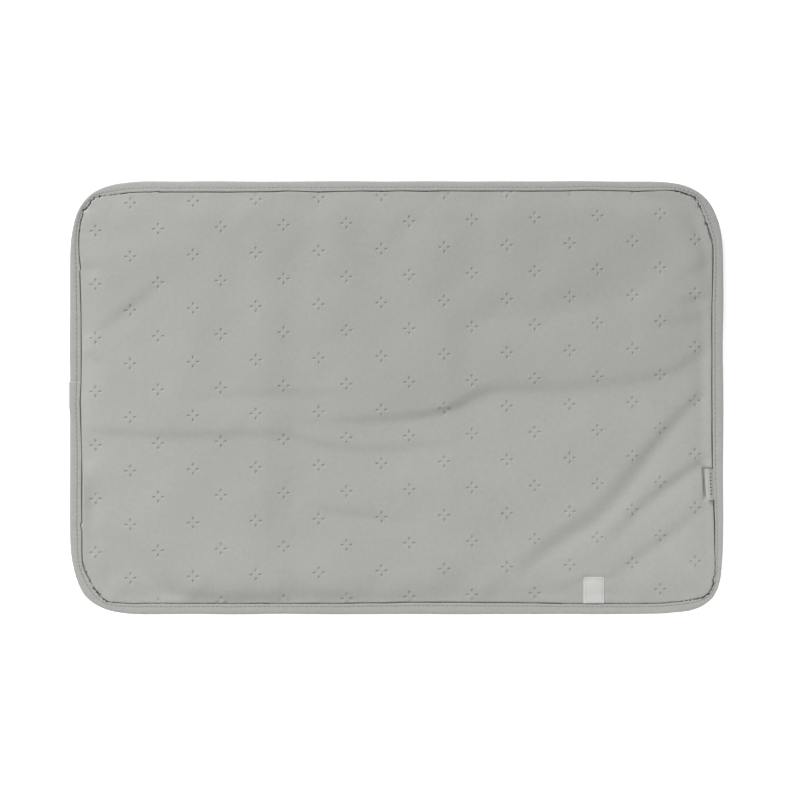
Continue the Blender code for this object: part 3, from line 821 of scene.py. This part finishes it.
def make_foam(material):
    """A closed body that fills the space between the covers."""

    def edge(turn, x, y):
        return np.full(np.shape(x), FOAM_INSET)

    offsets = (0, 3, 7, 12)
    rings = edge_rings(edge, offsets, 1.5 * MM)
    plan, faces = triangulate(rings, fill_points(edge, offsets, 6 * MM, []))
    x, y = plan.T
    low = np.maximum(back_height(x, y) + COVER_THICKNESS, FOAM_Z)
    rim = edge_distance(x, y)[0] < FOAM_INSET + 0.1 * MM
    under = 1.3 * MM + 1.2 * MM * np.exp(-edge_distance(x, y)[0] / (12 * MM))
    under += 0.8 * MM * label_sink(x, y)
    high = np.maximum(np.where(rim, low, face_height(x, y) - under), low)
    points = np.vstack([np.stack([x, y, high], axis=1), np.stack([x, y, low], axis=1)])
    both = np.vstack([faces, faces[:, ::-1] + len(plan)])
    return make_halves("foam", points, both, material, split_nodes("foam_core"))


# ---------------- the binding


STATIONS = even_stations(STITCH_PITCH / 4)
STITCH_COUNT = len(STATIONS) // 4
TRUE_PITCH = PERIMETER / STITCH_COUNT


def tape_stations():
    """Four stations a stitch, and four more at the step where the tape's ends lap."""
    dense = np.linspace(0, PERIMETER / 2, 40001)
    points, _, _ = outline_at(dense)
    on_left = points[:, 0] < -HALF_LENGTH + 1 * MM
    step = dense[on_left][np.argmin(np.abs(points[on_left, 1] - LAP_Y))]
    return np.sort(np.concatenate([STATIONS, step + np.array([-0.5, -0.12, 0.12, 0.5]) * MM]))


def smoothed(values, window):
    """A closed ring of values, averaged over a window of so many."""
    kernel = np.hanning(window + 2)[1:-1]
    wrapped = np.concatenate([values[-window:], values, values[:window]])
    return np.convolve(wrapped, kernel / kernel.sum(), "same")[window:-window]


def seam_table(edge):
    """The seam's distance in from the CAD outline at each even station."""
    points, turn, _ = outline_at(STATIONS)
    shift = edge_shift(turn, *points.T)
    width = edge(turn, *points.T) + shift
    return smoothed(width * by_turn(turn, SEAM_SHARES), 15) - smoothed(shift, 9)


TOP_SEAM = seam_table(inner_edge)
BACK_SEAM = seam_table(back_edge)


def seam_at(along, table):
    return np.interp(along % PERIMETER, np.append(STATIONS, PERIMETER), np.append(table, table[0]))


def needle_holes(along):
    """1 at a needle hole and 0 between two holes."""
    phase = (along / TRUE_PITCH + 0.5) % 1 - 0.5
    return np.exp(-((phase * TRUE_PITCH / (0.55 * MM)) ** 2))


TOP_SEAM_ROWS = slice(7, 10)  # of the section below
BACK_SEAM_ROW = 24


def tape_section(width, seam, hole, back_width, back_seam, gather):
    """The tape's section at every station as (inset, height) pairs in metres, from the inner edge
    on the face round to the inner edge on the back, and back inside the fold."""
    roll = np.minimum(seam * 0.25, 0.9 * MM)
    # Inset, height in mm, share of the gather, and what a needle hole adds to the height in mm
    rows = (
        (width - 0.02 * MM, 3.75, 0, 0),
        (width + 0.10 * MM, 4.05, 1, 0),
        (width + 0.05 * MM, 4.35, 1, 0),
        (width - 0.18 * MM, 4.6, 1, 0),
        (width - 0.5 * MM, 4.71, 1, 0),
        ((width + seam) / 2, 4.74, 0.8, 0),
        (seam + 0.7 * MM, 4.72, 0.4, 0),
        (seam + 0.35 * MM, 4.7, 0, -0.2),
        (seam, 4.68, 0, -0.35),
        (seam - 0.35 * MM, 4.7, 0, -0.2),
        (seam - 0.7 * MM, 4.74, 0.3, 0),
        (seam * 0.68, 4.77, 0.3, 0),
        (seam * 0.45, 4.8, 0.2, 0),
        (roll, 4.72, 0, 0),
        (roll * 0.42, 4.3, 0, 0),
        (roll * 0.1, 3.6, 0, 0),
        (0 * width, 2.7, 0, 0),
        (roll * 0.05, 1.8, 0, 0),
        (roll * 0.28, 0.95, 0, 0),
        (roll * 0.7, 0.3, 0, 0),
        (roll * 1.4, 0.04, 0, 0),
        (back_seam * 0.5, 0, 0, 0),
        (back_seam - 0.8 * MM, 0.02, 0, 0),
        (back_seam - 0.3 * MM, 0.14, 0, 0),
        (back_seam, 0.24, 0, 0.25),
        (back_seam + 0.3 * MM, 0.14, 0, 0),
        (back_seam + 0.8 * MM, 0.02, 0, 0),
        (back_width - 0.3 * MM, 0.03, 0, 0),
        (back_width, 0.3, 0, 0),
        (back_width - 0.05 * MM, 0.62, 0, 0),
        (roll + 0.7 * MM, 0.78, 0, 0),
        (roll * 0.4 + 0.6 * MM, 2.6, 0, 0),
        (roll + 0.7 * MM, 4.0, 0, 0),
        (seam, 3.55, 0, 0),
    )
    return np.stack([
        np.stack([inset, height * MM + share * gather + depth * MM * hole], axis=-1)
        for inset, height, share, depth in rows
    ], axis=1)


def make_binding(material):
    """The folded tape, all round. Its detail gives the weave its place along the tape, and marks the needle
    holes for painted shade.
    """
    along = tape_stations()
    points, turn, normals = outline_at(along)
    x, y = points.T
    shift = edge_shift(turn, x, y)
    width = inner_edge(turn, x, y) + shift
    seam = seam_at(along, TOP_SEAM) + shift
    back_seam = seam_at(along, BACK_SEAM) + shift
    corner = cornerness(turn)
    gather = np.sin(along / (4.7 * MM) * 2 * math.pi) * 0.09 * MM * corner
    gather += 0.05 * MM * ripple(x, y, 14 * MM, seed=14)
    hole = needle_holes(along)
    section = tape_section(width, seam, hole, back_edge(turn, x, y) + shift, back_seam, gather)
    raised = LAP_LIFT * lap_bump(x, y) - 0.3 * MM * near_lap(x, y)
    top_share = smooth((section[:, :, 1] - 2 * MM) / (2 * MM))
    across = section[:, :, 0] / width[:, None] - 0.5
    section[:, :, 1] += (by_turn(turn, TAPE_TILTS) * MM)[:, None] * across * top_share
    section[:, :, 1] += raised[:, None] * top_share
    inset = section[:, :, 0] - shift[:, None]
    plan = points[:, None, :] - normals[:, None, :] * inset[:, :, None]
    mesh_points = np.concatenate([plan, section[:, :, 1:]], axis=2).reshape(-1, 3)
    # painted shade at the needle holes, passed on to the tape's material
    dent_and_shade = np.zeros(section.shape[:2])
    dent_and_shade[:, TOP_SEAM_ROWS] = hole[:, None] * np.array([0.6, 1, 0.6])
    dent_and_shade[:, BACK_SEAM_ROW] = hole
    side = np.abs(along - PERIMETER / 2)
    detail = np.stack([dent_and_shade, side[:, None] + 0 * dent_and_shade, corner[:, None] + 0 * dent_and_shade], axis=2)
    faces = grid_faces(*section.shape[:2], closed_rows=True, closed_columns=True)
    nodes = split_nodes("binding", ("middle_back", "middle_front"))
    detail = detail.reshape(-1, 3)
    return make_halves("tape", mesh_points, faces, material, nodes, detail)


def near_lap(x, y):
    """1 in the little groove where the upper end of the tape stops."""
    return np.where(x < -HALF_LENGTH + NEAR_SIDE, np.exp(-(((y - LAP_Y) / (0.55 * MM)) ** 2)), 0)


def threads(lines, sides, radius):
    """Points and faces of tubes round lines of points. sides are level directions across them."""
    count, steps = lines.shape[:2]
    angles = circle(THREAD_SIDES)
    ring = np.cos(angles)[:, None] * sides[:, :, None, :] + np.sin(angles)[:, None] * UP
    points = lines[:, :, None, :] + ring * radius[:, None, None]
    faces = grid_faces(steps, THREAD_SIDES, closed_columns=True)
    faces = faces + (np.arange(count) * steps * THREAD_SIDES)[:, None, None]
    return points.reshape(-1, 3), faces.reshape(-1, 4)


def make_stitches(material):
    """One arched thread between each two needle holes, on the face and on the back."""
    share = np.array([0, 0.12, 0.32, 0.5, 0.68, 0.88, 1])
    rise = np.array([-0.3, 0.08, 0.2, 0.24, 0.2, 0.08, -0.3]) * MM
    radius = THREAD_RADIUS * (1 - 0.5 * np.abs(share - 0.5))
    start = (np.arange(STITCH_COUNT) + 0.5 * (1 - STITCH_LENGTH / TRUE_PITCH)) * TRUE_PITCH
    along = start[:, None] + share * STITCH_LENGTH
    points, _, normals = outline_at(along)
    lift = LAP_LIFT * lap_bump(points[..., 0], points[..., 1])
    lines = []
    for table, height in ((TOP_SEAM, 4.66 * MM + rise + lift), (BACK_SEAM, 0.2 * MM - rise + 0 * lift)):
        inset = seam_at(along, table) + (share - 0.5) * 0.3 * MM
        plan = points - normals * inset[..., None]
        lines.append(np.concatenate([plan, height[..., None]], axis=2))
    sides = np.concatenate([normals, 0 * normals[..., :1]], axis=2)
    points, faces = threads(np.concatenate(lines), np.concatenate([sides, sides]), radius)
    nodes = split_nodes("binding_thread", ("middle_back", "middle_front"))
    return make_halves("stitches", points, faces, material, nodes)


# ---------------- patches and label


def attach(piece, body, node):
    """Fixes a piece to one body, in place of a CAD node."""
    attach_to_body(piece, body)
    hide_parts(node)


def sew(name, route, up, radius, material, body, node):
    """Separate stitches along a route of (start, end) pairs of 3D points."""
    share = np.array([0, 0.2, 0.5, 0.8, 1])
    rise = np.array([-1.6, 0.4, 0.9, 0.4, -1.6]) * radius * up
    start, end = np.array(route).swapaxes(0, 1)
    step = (end - start)[:, None]
    lines = start[:, None] + share[:, None] * step + rise[:, None] * UP
    sides = np.cross(step / np.linalg.norm(step, axis=2, keepdims=True), UP)
    points, faces = threads(lines, sides, np.full(len(share), radius))
    attach(make_object(name, points, faces, material), body, node)


def seam_route(corners, height, pitch, length):
    """Start and end points of stitches along a line through plan points."""
    route = []
    for start, end in zip(corners, corners[1:]):
        start, end = np.array(start), np.array(end)
        run = np.linalg.norm(end - start)
        count = max(1, round(run / pitch))
        for index in range(count):
            ends = [(index + 0.5 + sign * length / pitch / 2) / count for sign in (-1, 1)]
            plan = [start + (end - start) * share for share in ends]
            route.append([np.array([p[0], p[1], height(p[0], p[1])]) for p in plan])
    return route


def patch_plan(half_width, half_length, step, corner):
    """A grid over a rectangle whose corners are eased in by corner at one end (+y)."""
    across = spaced(-half_width, half_width, step)
    along = spaced(-half_length, half_length, step)
    x, y = np.meshgrid(across, along)
    near_end = np.clip((y - half_length + corner) / corner, 0, 1)
    squeeze = 1 - (1 - np.sqrt(np.maximum(1 - near_end**2, 0))) * corner / half_width
    return x * squeeze, y


def make_loop_patch(material, thread):
    """A woven base with a pile of fine loops. Its lower end runs in under the binding."""
    half_length = (LOOP_TOP_Y - LOOP_END_Y) / 2
    plan_x, plan_y = patch_plan(LOOP_HALF_WIDTH, half_length, 0.3 * MM, 2.4 * MM)
    edge_x = LOOP_HALF_WIDTH - np.abs(plan_x)
    edge = np.minimum(edge_x, half_length - plan_y)
    random = np.random.default_rng(21)
    pile = smooth((edge_x - 1.2 * MM) / (0.6 * MM)) * random.uniform(0, 0.14 * MM, plan_x.shape)
    inset = 1.7 * MM  # of the stitching
    seam = np.exp(-(((edge - inset) / (0.45 * MM)) ** 2)) * 0.22 * MM
    thick = LOOP_THICKNESS * np.sqrt(np.clip(edge / (0.5 * MM), 0.02, 1))
    x, y = plan_x + LOOP_X, plan_y + (LOOP_TOP_Y + LOOP_END_Y) / 2
    face = face_height(x, y)
    high = face + thick + pile - seam
    distance, turn = edge_distance(x, y)
    tucked = distance - inner_edge(turn, x, y) < 0.6 * MM
    high = np.where(tucked, np.minimum(high, 3.9 * MM), high)
    points, faces = slab(x, y, high, np.minimum(face, high) - 0.1 * MM)
    detail = np.zeros_like(points)
    detail[:, 1] = np.tile(smooth((1.5 * MM - edge_x) / (0.4 * MM)).ravel(), 2)
    piece = make_object("loop_tape", points, faces, material, detail=detail)
    attach(piece, "right_panel", "loop_patch")

    def height(x, y):
        return float(face_height(np.array([x]), np.array([y]))[0] + LOOP_THICKNESS)

    left, right = LOOP_X - LOOP_HALF_WIDTH + inset, LOOP_X + LOOP_HALF_WIDTH - inset
    top, bottom = LOOP_TOP_Y - inset, LOOP_TOP_Y - 20.5 * MM
    corners = [(left, bottom), (left, top), (right, top), (right, bottom)]
    route = seam_route(corners, height, 2.2 * MM, 1.7 * MM)
    sew("loop_tape_stitches", route, 1, 0.17 * MM, thread, "right_panel", "loop_patch_thread")
    return piece


def slab(x, y, *heights):
    """Points and faces of a closed sheet between two heights, over a grid of plan points."""
    layers = [np.stack([x, y, z], axis=2).reshape(-1, 3) for z in heights]
    count = x.size
    faces = grid_faces(*x.shape)
    index = np.arange(count).reshape(x.shape)
    rim = np.concatenate([index[0, :-1], index[:-1, -1], index[-1, :0:-1], index[:0:-1, 0]])
    after = np.roll(rim, -1)
    sides = np.stack([after, rim, rim + count, after + count], axis=1)
    return np.concatenate(layers), np.vstack([faces, faces[:, ::-1] + count, sides])


def make_hook_patch(material, thread):
    """A moulded base with rows of small hooks, facing down under the left panel."""
    x, y = patch_plan(HOOK_HALF, HOOK_HALF, 1.0 * MM, 1.6 * MM)
    low_z = HOOK_LOW.z + 0.25 * MM
    flat = np.ones(x.shape)
    points, faces = slab(x + HOOK_X, y + HOOK_Y, flat * low_z, flat * HOOK_HIGH.z)
    stems, stem_faces = hooks(low_z)
    faces = np.vstack([faces[:, ::-1], stem_faces + len(points)])
    piece = make_object("hook_tape", np.vstack([points, stems]), faces, material)
    attach(piece, "left_panel", "hook_patch")
    near = HOOK_HALF - 1.3 * MM
    turns = ((-1, -1), (-1, 1), (1, 1), (1, -1), (-1, -1))
    corners = [(HOOK_X + a * near, HOOK_Y + b * near) for a, b in turns]
    route = seam_route(corners, lambda x, y: low_z - 0.05 * MM, 2.4 * MM, 1.8 * MM)
    sew("hook_tape_stitches", route, -1, 0.16 * MM, thread, "left_panel", "hook_patch_thread")
    return piece


def hooks(base_z):
    """Little bent stems in rows, each turned the other way from its neighbours."""
    line_x, line_z = np.array([(0, 0.1), (0, -0.35), (0.12, -0.62), (0.34, -0.66), (0.46, -0.46)]).T * MM
    radius = np.array([0.17, 0.14, 0.12, 0.11, 0.06]) * MM
    steps, sides = len(radius), 5
    pattern = grid_faces(steps, sides, closed_columns=True)
    ring = np.zeros((steps, sides, 3))
    ring[:, :, 0] = np.cos(circle(sides)) * radius[:, None]
    ring[:, :, 1] = np.sin(circle(sides)) * radius[:, None]
    ring[2:, :, 2] = ring[2:, :, 0] * 0.7
    reach, pitch = HOOK_HALF - 2.6 * MM, 1.25 * MM
    points, faces = [], []
    for row, y in enumerate(spaced(-reach, reach, pitch)):
        side = 1 if row % 2 else -1
        for x in spaced(-reach, reach, pitch) + (0.6 * MM if row % 2 else 0):
            along_x = x + side * line_x + HOOK_X
            centre = np.stack([along_x, np.full(steps, y + HOOK_Y), base_z + line_z], axis=1)
            faces.append(pattern + len(points) * steps * sides)
            points.append((centre[:, None, :] + ring).reshape(-1, 3))
    return np.vstack(points), np.vstack(faces)


def rounded(share):
    """A quarter circle's rise from 0 to 1."""
    return np.sqrt(1 - (1 - np.clip(share, 0, 1)) ** 2)


def make_label(material):
    """A short ribbon folded double, its ends sewn in under the binding, standing off the face."""
    path = np.array([
        (-2.4, 4.02), (-0.4, 4.25), (1.0, 4.75), (3.0, 5.75), (5.2, 6.35), (6.8, 6.72),
        (7.5, 6.98), (7.72, 7.22), (7.5, 7.42), (6.6, 7.5), (5.0, 7.3), (3.2, 6.65),
        (1.4, 5.55), (0.2, 4.75), (-0.5, 4.4), (-2.4, 4.15),
    ]) * MM
    path = catmull_rom(path, 3)
    tangent = np.gradient(path, axis=0)
    tangent /= np.linalg.norm(tangent, axis=1, keepdims=True)
    normal = np.stack([tangent[:, 1], -tangent[:, 0]], axis=1)
    half_thickness = 0.11 * MM
    section = np.vstack([path + normal * half_thickness, (path - normal * half_thickness)[::-1]])
    share = np.linspace(0, 1, 34)
    taper = 1 - 0.04 * smooth((share - 0.45) / 0.55)
    reach = taper * (1 - 0.16 * (1 - rounded(share / 0.075)) - 0.3 * (1 - rounded((1 - share) / 0.12)))
    lift = 0.45 * MM * smooth((share - 0.5) / 0.5) + 0.15 * MM
    root_y = LABEL_TOP_Y - share * LABEL_LENGTH
    root_x = HALF_LENGTH - inner_edge(0 * root_y, 0 * root_y + HALF_LENGTH, root_y)
    out = section[None, :, 0] * np.where(section[None, :, 0] > 0, reach[:, None], 1)
    out_share = np.clip(section[None, :, 0] / (7.5 * MM), 0, 1)
    x = root_x[:, None] - out
    y = root_y[:, None] + 0.09 * MM * np.sin(share * 9)[:, None] * out_share
    z = section[None, :, 1] + lift[:, None] * out_share
    points = np.stack([x, y, z], axis=2).reshape(-1, 3)
    rows, columns = x.shape
    half = columns // 2
    outer = np.arange(half - 1)
    end_strip = np.stack([outer, outer + 1, columns - 2 - outer, columns - 1 - outer], axis=1)
    faces = grid_faces(rows, columns, closed_columns=True)
    faces = np.vstack([faces, end_strip, end_strip[:, ::-1] + (rows - 1) * columns])
    along, across = np.meshgrid(share * LABEL_LENGTH, section[:, 0] / (7.6 * MM), indexing="ij")
    detail = np.stack([0 * along, along, across], axis=2).reshape(-1, 3)
    piece = make_object("ribbon_label", points, faces[:, ::-1], material, detail=detail)
    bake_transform(piece)
    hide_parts("label")
    return piece


# ---------------- materials


class Surface:
    """A material in the making. Each method adds a node and gives its output."""

    def __init__(self, name, colour, roughness, specular):
        self.material = bpy.data.materials.new(name)
        self.material.use_nodes = True
        self.tree = self.material.node_tree
        self.colour = colour
        self.inputs = self.tree.nodes["Principled BSDF"].inputs
        self.inputs["Base Color"].default_value = (*colour, 1)
        self.inputs["Roughness"].default_value = roughness
        self.inputs["Specular IOR Level"].default_value = specular
        self.rest = self.attribute("rest")

    def node(self, kind, inputs, output=0, **settings):
        """An input that is a socket is linked, and any other is set."""
        made = self.tree.nodes.new(kind)
        for key, value in settings.items():
            setattr(made, key, value)
        for key, value in inputs.items():
            if isinstance(value, bpy.types.NodeSocket):
                self.tree.links.new(value, made.inputs[key])
            else:
                made.inputs[key].default_value = value
        return made.outputs[output]

    def attribute(self, name):
        return self.node("ShaderNodeAttribute", {}, "Vector", attribute_name=name)

    def detail(self, part):
        return self.node("ShaderNodeSeparateXYZ", {0: self.attribute("detail")}, part)

    def noise(self, scale, detail=2.0, roughness=0.5):
        inputs = {"Vector": self.rest, "Scale": scale, "Detail": detail, "Roughness": roughness}
        return self.node("ShaderNodeTexNoise", inputs, "Fac")

    def cells(self, scale, feature):
        inputs = {"Vector": self.rest, "Scale": scale}
        return self.node("ShaderNodeTexVoronoi", inputs, "Distance", feature=feature)

    def reckon(self, operation, a, b=0.0):
        return self.node("ShaderNodeMath", {0: a, 1: b}, operation=operation)

    def times(self, value, *factors):
        for factor in factors:
            value = self.reckon("MULTIPLY", value, factor)
        return value

    def plus(self, value, *terms):
        for term in terms:
            value = self.reckon("ADD", value, term)
        return value

    def remap(self, value, low, high, to_low, to_high):
        inputs = {0: value, 1: low, 2: high, 3: to_low, 4: to_high}
        return self.node("ShaderNodeMapRange", inputs)

    def spread(self, texture, to_low, to_high):
        """The middle of a noise texture's range, spread over other values."""
        return self.remap(texture, 0.3, 0.7, to_low, to_high)

    def waves(self, distance, length):
        return self.reckon("SINE", self.times(distance, 2 * math.pi / length))

    def link(self, output, name):
        self.tree.links.new(output, self.inputs[name])

    def shade(self, factor):
        """Scales the colour."""
        inputs = {0: self.colour, "Scale": factor}
        self.link(self.node("ShaderNodeVectorMath", inputs, operation="SCALE"), "Base Color")

    def finished(self, height, strength, distance):
        """The material, with its relief."""
        inputs = {"Height": height, "Strength": strength, "Distance": distance}
        self.link(self.node("ShaderNodeBump", inputs), "Normal")
        return self.material


def leathercloth(name, colour, roughness):
    """Coated cloth with a fine pebble grain, a faint mottle, and painted shade inside the pressed drops of
    the motif.
    """
    made = Surface(name, colour, roughness, specular=0.3)
    pebble = made.cells(1150.0, "SMOOTH_F1")
    fine, mottle, broad = made.noise(900.0, 3.0, 0.6), made.noise(260.0, 3.0, 0.6), made.noise(9.0)
    made.shade(made.times(
        made.spread(mottle, 0.97, 1.03),
        made.spread(broad, 0.985, 1.015),
        made.remap(pebble, 0.0, 0.8, 1.03, 0.95),
        # painted shade: the colour is darker inside the pressed drops of the motif
        made.remap(made.detail(0), 0.0, 1.0, 1.0, 0.84),
    ))
    made.link(made.spread(fine, roughness - 0.05, roughness + 0.06), "Roughness")
    grain = made.plus(made.times(pebble, -1.0), made.times(fine, 0.5), made.times(mottle, 0.9))
    return made.finished(grain, 0.35, 0.12 * MM)


def tape_material(colour):
    """Soft folded tape with a fine cross weave, gathered into ribs round the corners, with painted shade at
    the needle holes.
    """
    made = Surface("binding_tape", colour, 0.62, 0.3)
    dent_and_shade, along, corner = (made.detail(part) for part in range(3))
    rib = made.times(made.waves(along, 1.55 * MM), made.plus(made.times(corner, 0.85), 0.15))
    fine, mottle = made.noise(1100.0, 3.0, 0.6), made.noise(330.0)
    made.shade(made.times(
        made.spread(mottle, 0.965, 1.035),
        # painted shade: the colour is darker at the needle holes
        made.remap(dent_and_shade, 0.0, 1.0, 1.0, 0.42),
        made.remap(rib, -1.0, 1.0, 0.97, 1.03),
    ))
    weave = made.plus(made.times(rib, 0.7), made.times(fine, 0.8), made.times(mottle, 0.8))
    return made.finished(weave, 0.6, 0.22 * MM)


def thread_material(name, colour):
    """Twisted sewing thread."""
    made = Surface(name, colour, 0.55, 0.35)
    inputs = {"Vector": made.rest, "Scale": 900.0, "Distortion": 1.5}
    twist = made.node("ShaderNodeTexWave", inputs, "Fac", bands_direction="DIAGONAL")
    made.shade(made.remap(twist, 0, 1, 0.88, 1.06))
    return made.finished(twist, 0.5, 0.06 * MM)


def loop_material(colour):
    """A brushed pile between two flat woven edges."""
    made = Surface("loop_tape", colour, 0.85, 0.15)
    fuzz, clump = made.noise(1500.0, 4.0, 0.7), made.noise(420.0)
    made.shade(made.times(
        made.spread(fuzz, 0.9, 1.05),
        made.spread(clump, 0.97, 1.03),
        made.remap(made.detail(1), 0, 1, 1.0, 1.08),
    ))
    made.inputs["Sheen Weight"].default_value = 0.3
    return made.finished(made.plus(fuzz, made.times(clump, 0.6)), 0.8, 0.25 * MM)


def hook_material(colour):
    """Moulded plastic."""
    made = Surface("hook_tape", colour, 0.4, 0.5)
    mottle = made.noise(500.0)
    made.shade(made.spread(mottle, 0.95, 1.04))
    return made.finished(mottle, 0.3, 0.08 * MM)


def label_material(colour, mark):
    """Satin ribbon with a plain woven row of small diamonds."""
    made = Surface("label_ribbon", colour, 0.38, 0.45)
    along, across = made.detail(1), made.detail(2)
    pitch, first, last = 3.1 * MM, 2.6 * MM, 26 * MM
    cell = made.reckon("FRACT", made.times(along, 1 / pitch))
    from_middle = made.reckon("ABSOLUTE", made.plus(cell, -0.5))
    off_centre = made.reckon("ABSOLUTE", made.plus(across, -0.36))
    diamond = made.plus(made.times(from_middle, 1.7), made.times(off_centre, 3.4))
    woven = made.times(
        made.remap(diamond, 0.5, 0.58, 1.0, 0.0),
        made.remap(diamond, 0.16, 0.22, 0.0, 1.0),
        made.remap(along, first, first + 0.1 * MM, 0, 1),
        made.remap(along, last - 0.1 * MM, last, 1, 0),
    )
    colours = {0: woven, 6: (*colour, 1), 7: (*mark, 1)}
    made.link(made.node("ShaderNodeMix", colours, 2, data_type="RGBA"), "Base Color")
    return made.finished(made.waves(along, 0.3 * MM), 0.25, 0.05 * MM)


def foam_material(colour):
    """Open foam."""
    made = Surface("foam", colour, 0.9, 0.2)
    cells = made.cells(900.0, "F1")
    made.shade(made.remap(cells, 0, 0.7, 0.85, 1.05))
    return made.finished(cells, 0.6, 0.3 * MM)


# ---------------- stage


LIGHTS = (  # name, place, size, watts
    ("key", (-1.5, 3.0, 1.6), (1.3, 0.8), 145),
    ("side", (-0.9, -0.1, 0.8), (0.5, 0.7), 4.2),
    ("fill", (0.66, -0.5, 0.62), (0.35, 0.3), 3.9),
    ("low", (-0.5, -0.5, 0.6), (0.3, 0.3), 1.0),
)
VIEW_SHARE = 0.8164  # the pad's length in the picture's width
VIEW_X, VIEW_Y = 3.8 * MM, -2.6 * MM  # the middle of the picture
FLOOR_HALF_SIZE = 4.0
FLOOR_Z = -0.2 * MM


def make_stage():
    data = bpy.data.meshes.new("floor")
    corners = np.array([(-1, -1, 0), (1, -1, 0), (1, 1, 0), (-1, 1, 0)]) * FLOOR_HALF_SIZE + (0, 0, FLOOR_Z)
    data.from_pydata(corners.tolist(), [], [(0, 1, 2, 3)])
    floor = add_object("floor", data)
    made = Surface("floor", (0.96, 0.96, 0.96), 0.9, 0.1)
    made.inputs["Emission Color"].default_value = (1, 1, 1, 1)
    made.inputs["Emission Strength"].default_value = 0.42  # a light table
    data.materials.append(made.material)

    world = bpy.data.worlds.new("studio")
    bpy.context.scene.world = world
    world.use_nodes = True
    background = world.node_tree.nodes["Background"]
    background.inputs["Color"].default_value = (1, 1, 1, 1)
    background.inputs["Strength"].default_value = 0.22

    for light in LIGHTS:
        add_light(*light)
    bpy.context.scene.view_settings.view_transform = "Standard"


def add_light(name, place, size, watts):
    """A soft light that faces the pad."""
    data = bpy.data.lights.new(name, "AREA")
    data.shape = "RECTANGLE"
    data.size, data.size_y = size
    data.energy = watts
    lamp = add_object(name, data)
    lamp.location = place
    lamp.rotation_euler = (-lamp.location).to_track_quat("-Z", "Y").to_euler()


def make_camera():
    """Straight above, looking down."""
    data = bpy.data.cameras.new("camera")
    data.lens = 100
    camera = add_object("camera", data)
    picture_width = 2 * HALF_LENGTH / VIEW_SHARE
    distance = picture_width * data.lens / data.sensor_width
    camera.location = (VIEW_X, VIEW_Y, distance + TAPE_HEIGHT / 2)
    bpy.context.scene.camera = camera


# ---------------- assembly

FACE_GREY = (0.352, 0.351, 0.333)
BACK_GREY = (0.33, 0.33, 0.318)
TAPE_GREY = (0.355, 0.352, 0.34)
THREAD_GREY = (0.36, 0.36, 0.345)
THREAD_WHITE = (0.62, 0.62, 0.6)
FOAM_CREAM = (0.8, 0.78, 0.7)
LOOP_WHITE = (0.53, 0.53, 0.515)
HOOK_WHITE = (0.6, 0.6, 0.585)
LABEL_GREY = (0.42, 0.42, 0.40)
LABEL_MARK = (0.06, 0.06, 0.06)

make_camera()
make_stage()
covers = make_face(leathercloth("embossed_leathercloth", FACE_GREY, 0.6))
backs = make_back(leathercloth("plain_leathercloth", BACK_GREY, 0.62))
foams = make_foam(foam_material(FOAM_CREAM))
tapes = make_binding(tape_material(TAPE_GREY))
make_stitches(thread_material("grey_thread", THREAD_GREY))
white_thread = thread_material("white_thread", THREAD_WHITE)
loop_patch = make_loop_patch(loop_material(LOOP_WHITE), white_thread)
hook_patch = make_hook_patch(hook_material(HOOK_WHITE), white_thread)
label_piece = make_label(label_material(LABEL_GREY, LABEL_MARK))
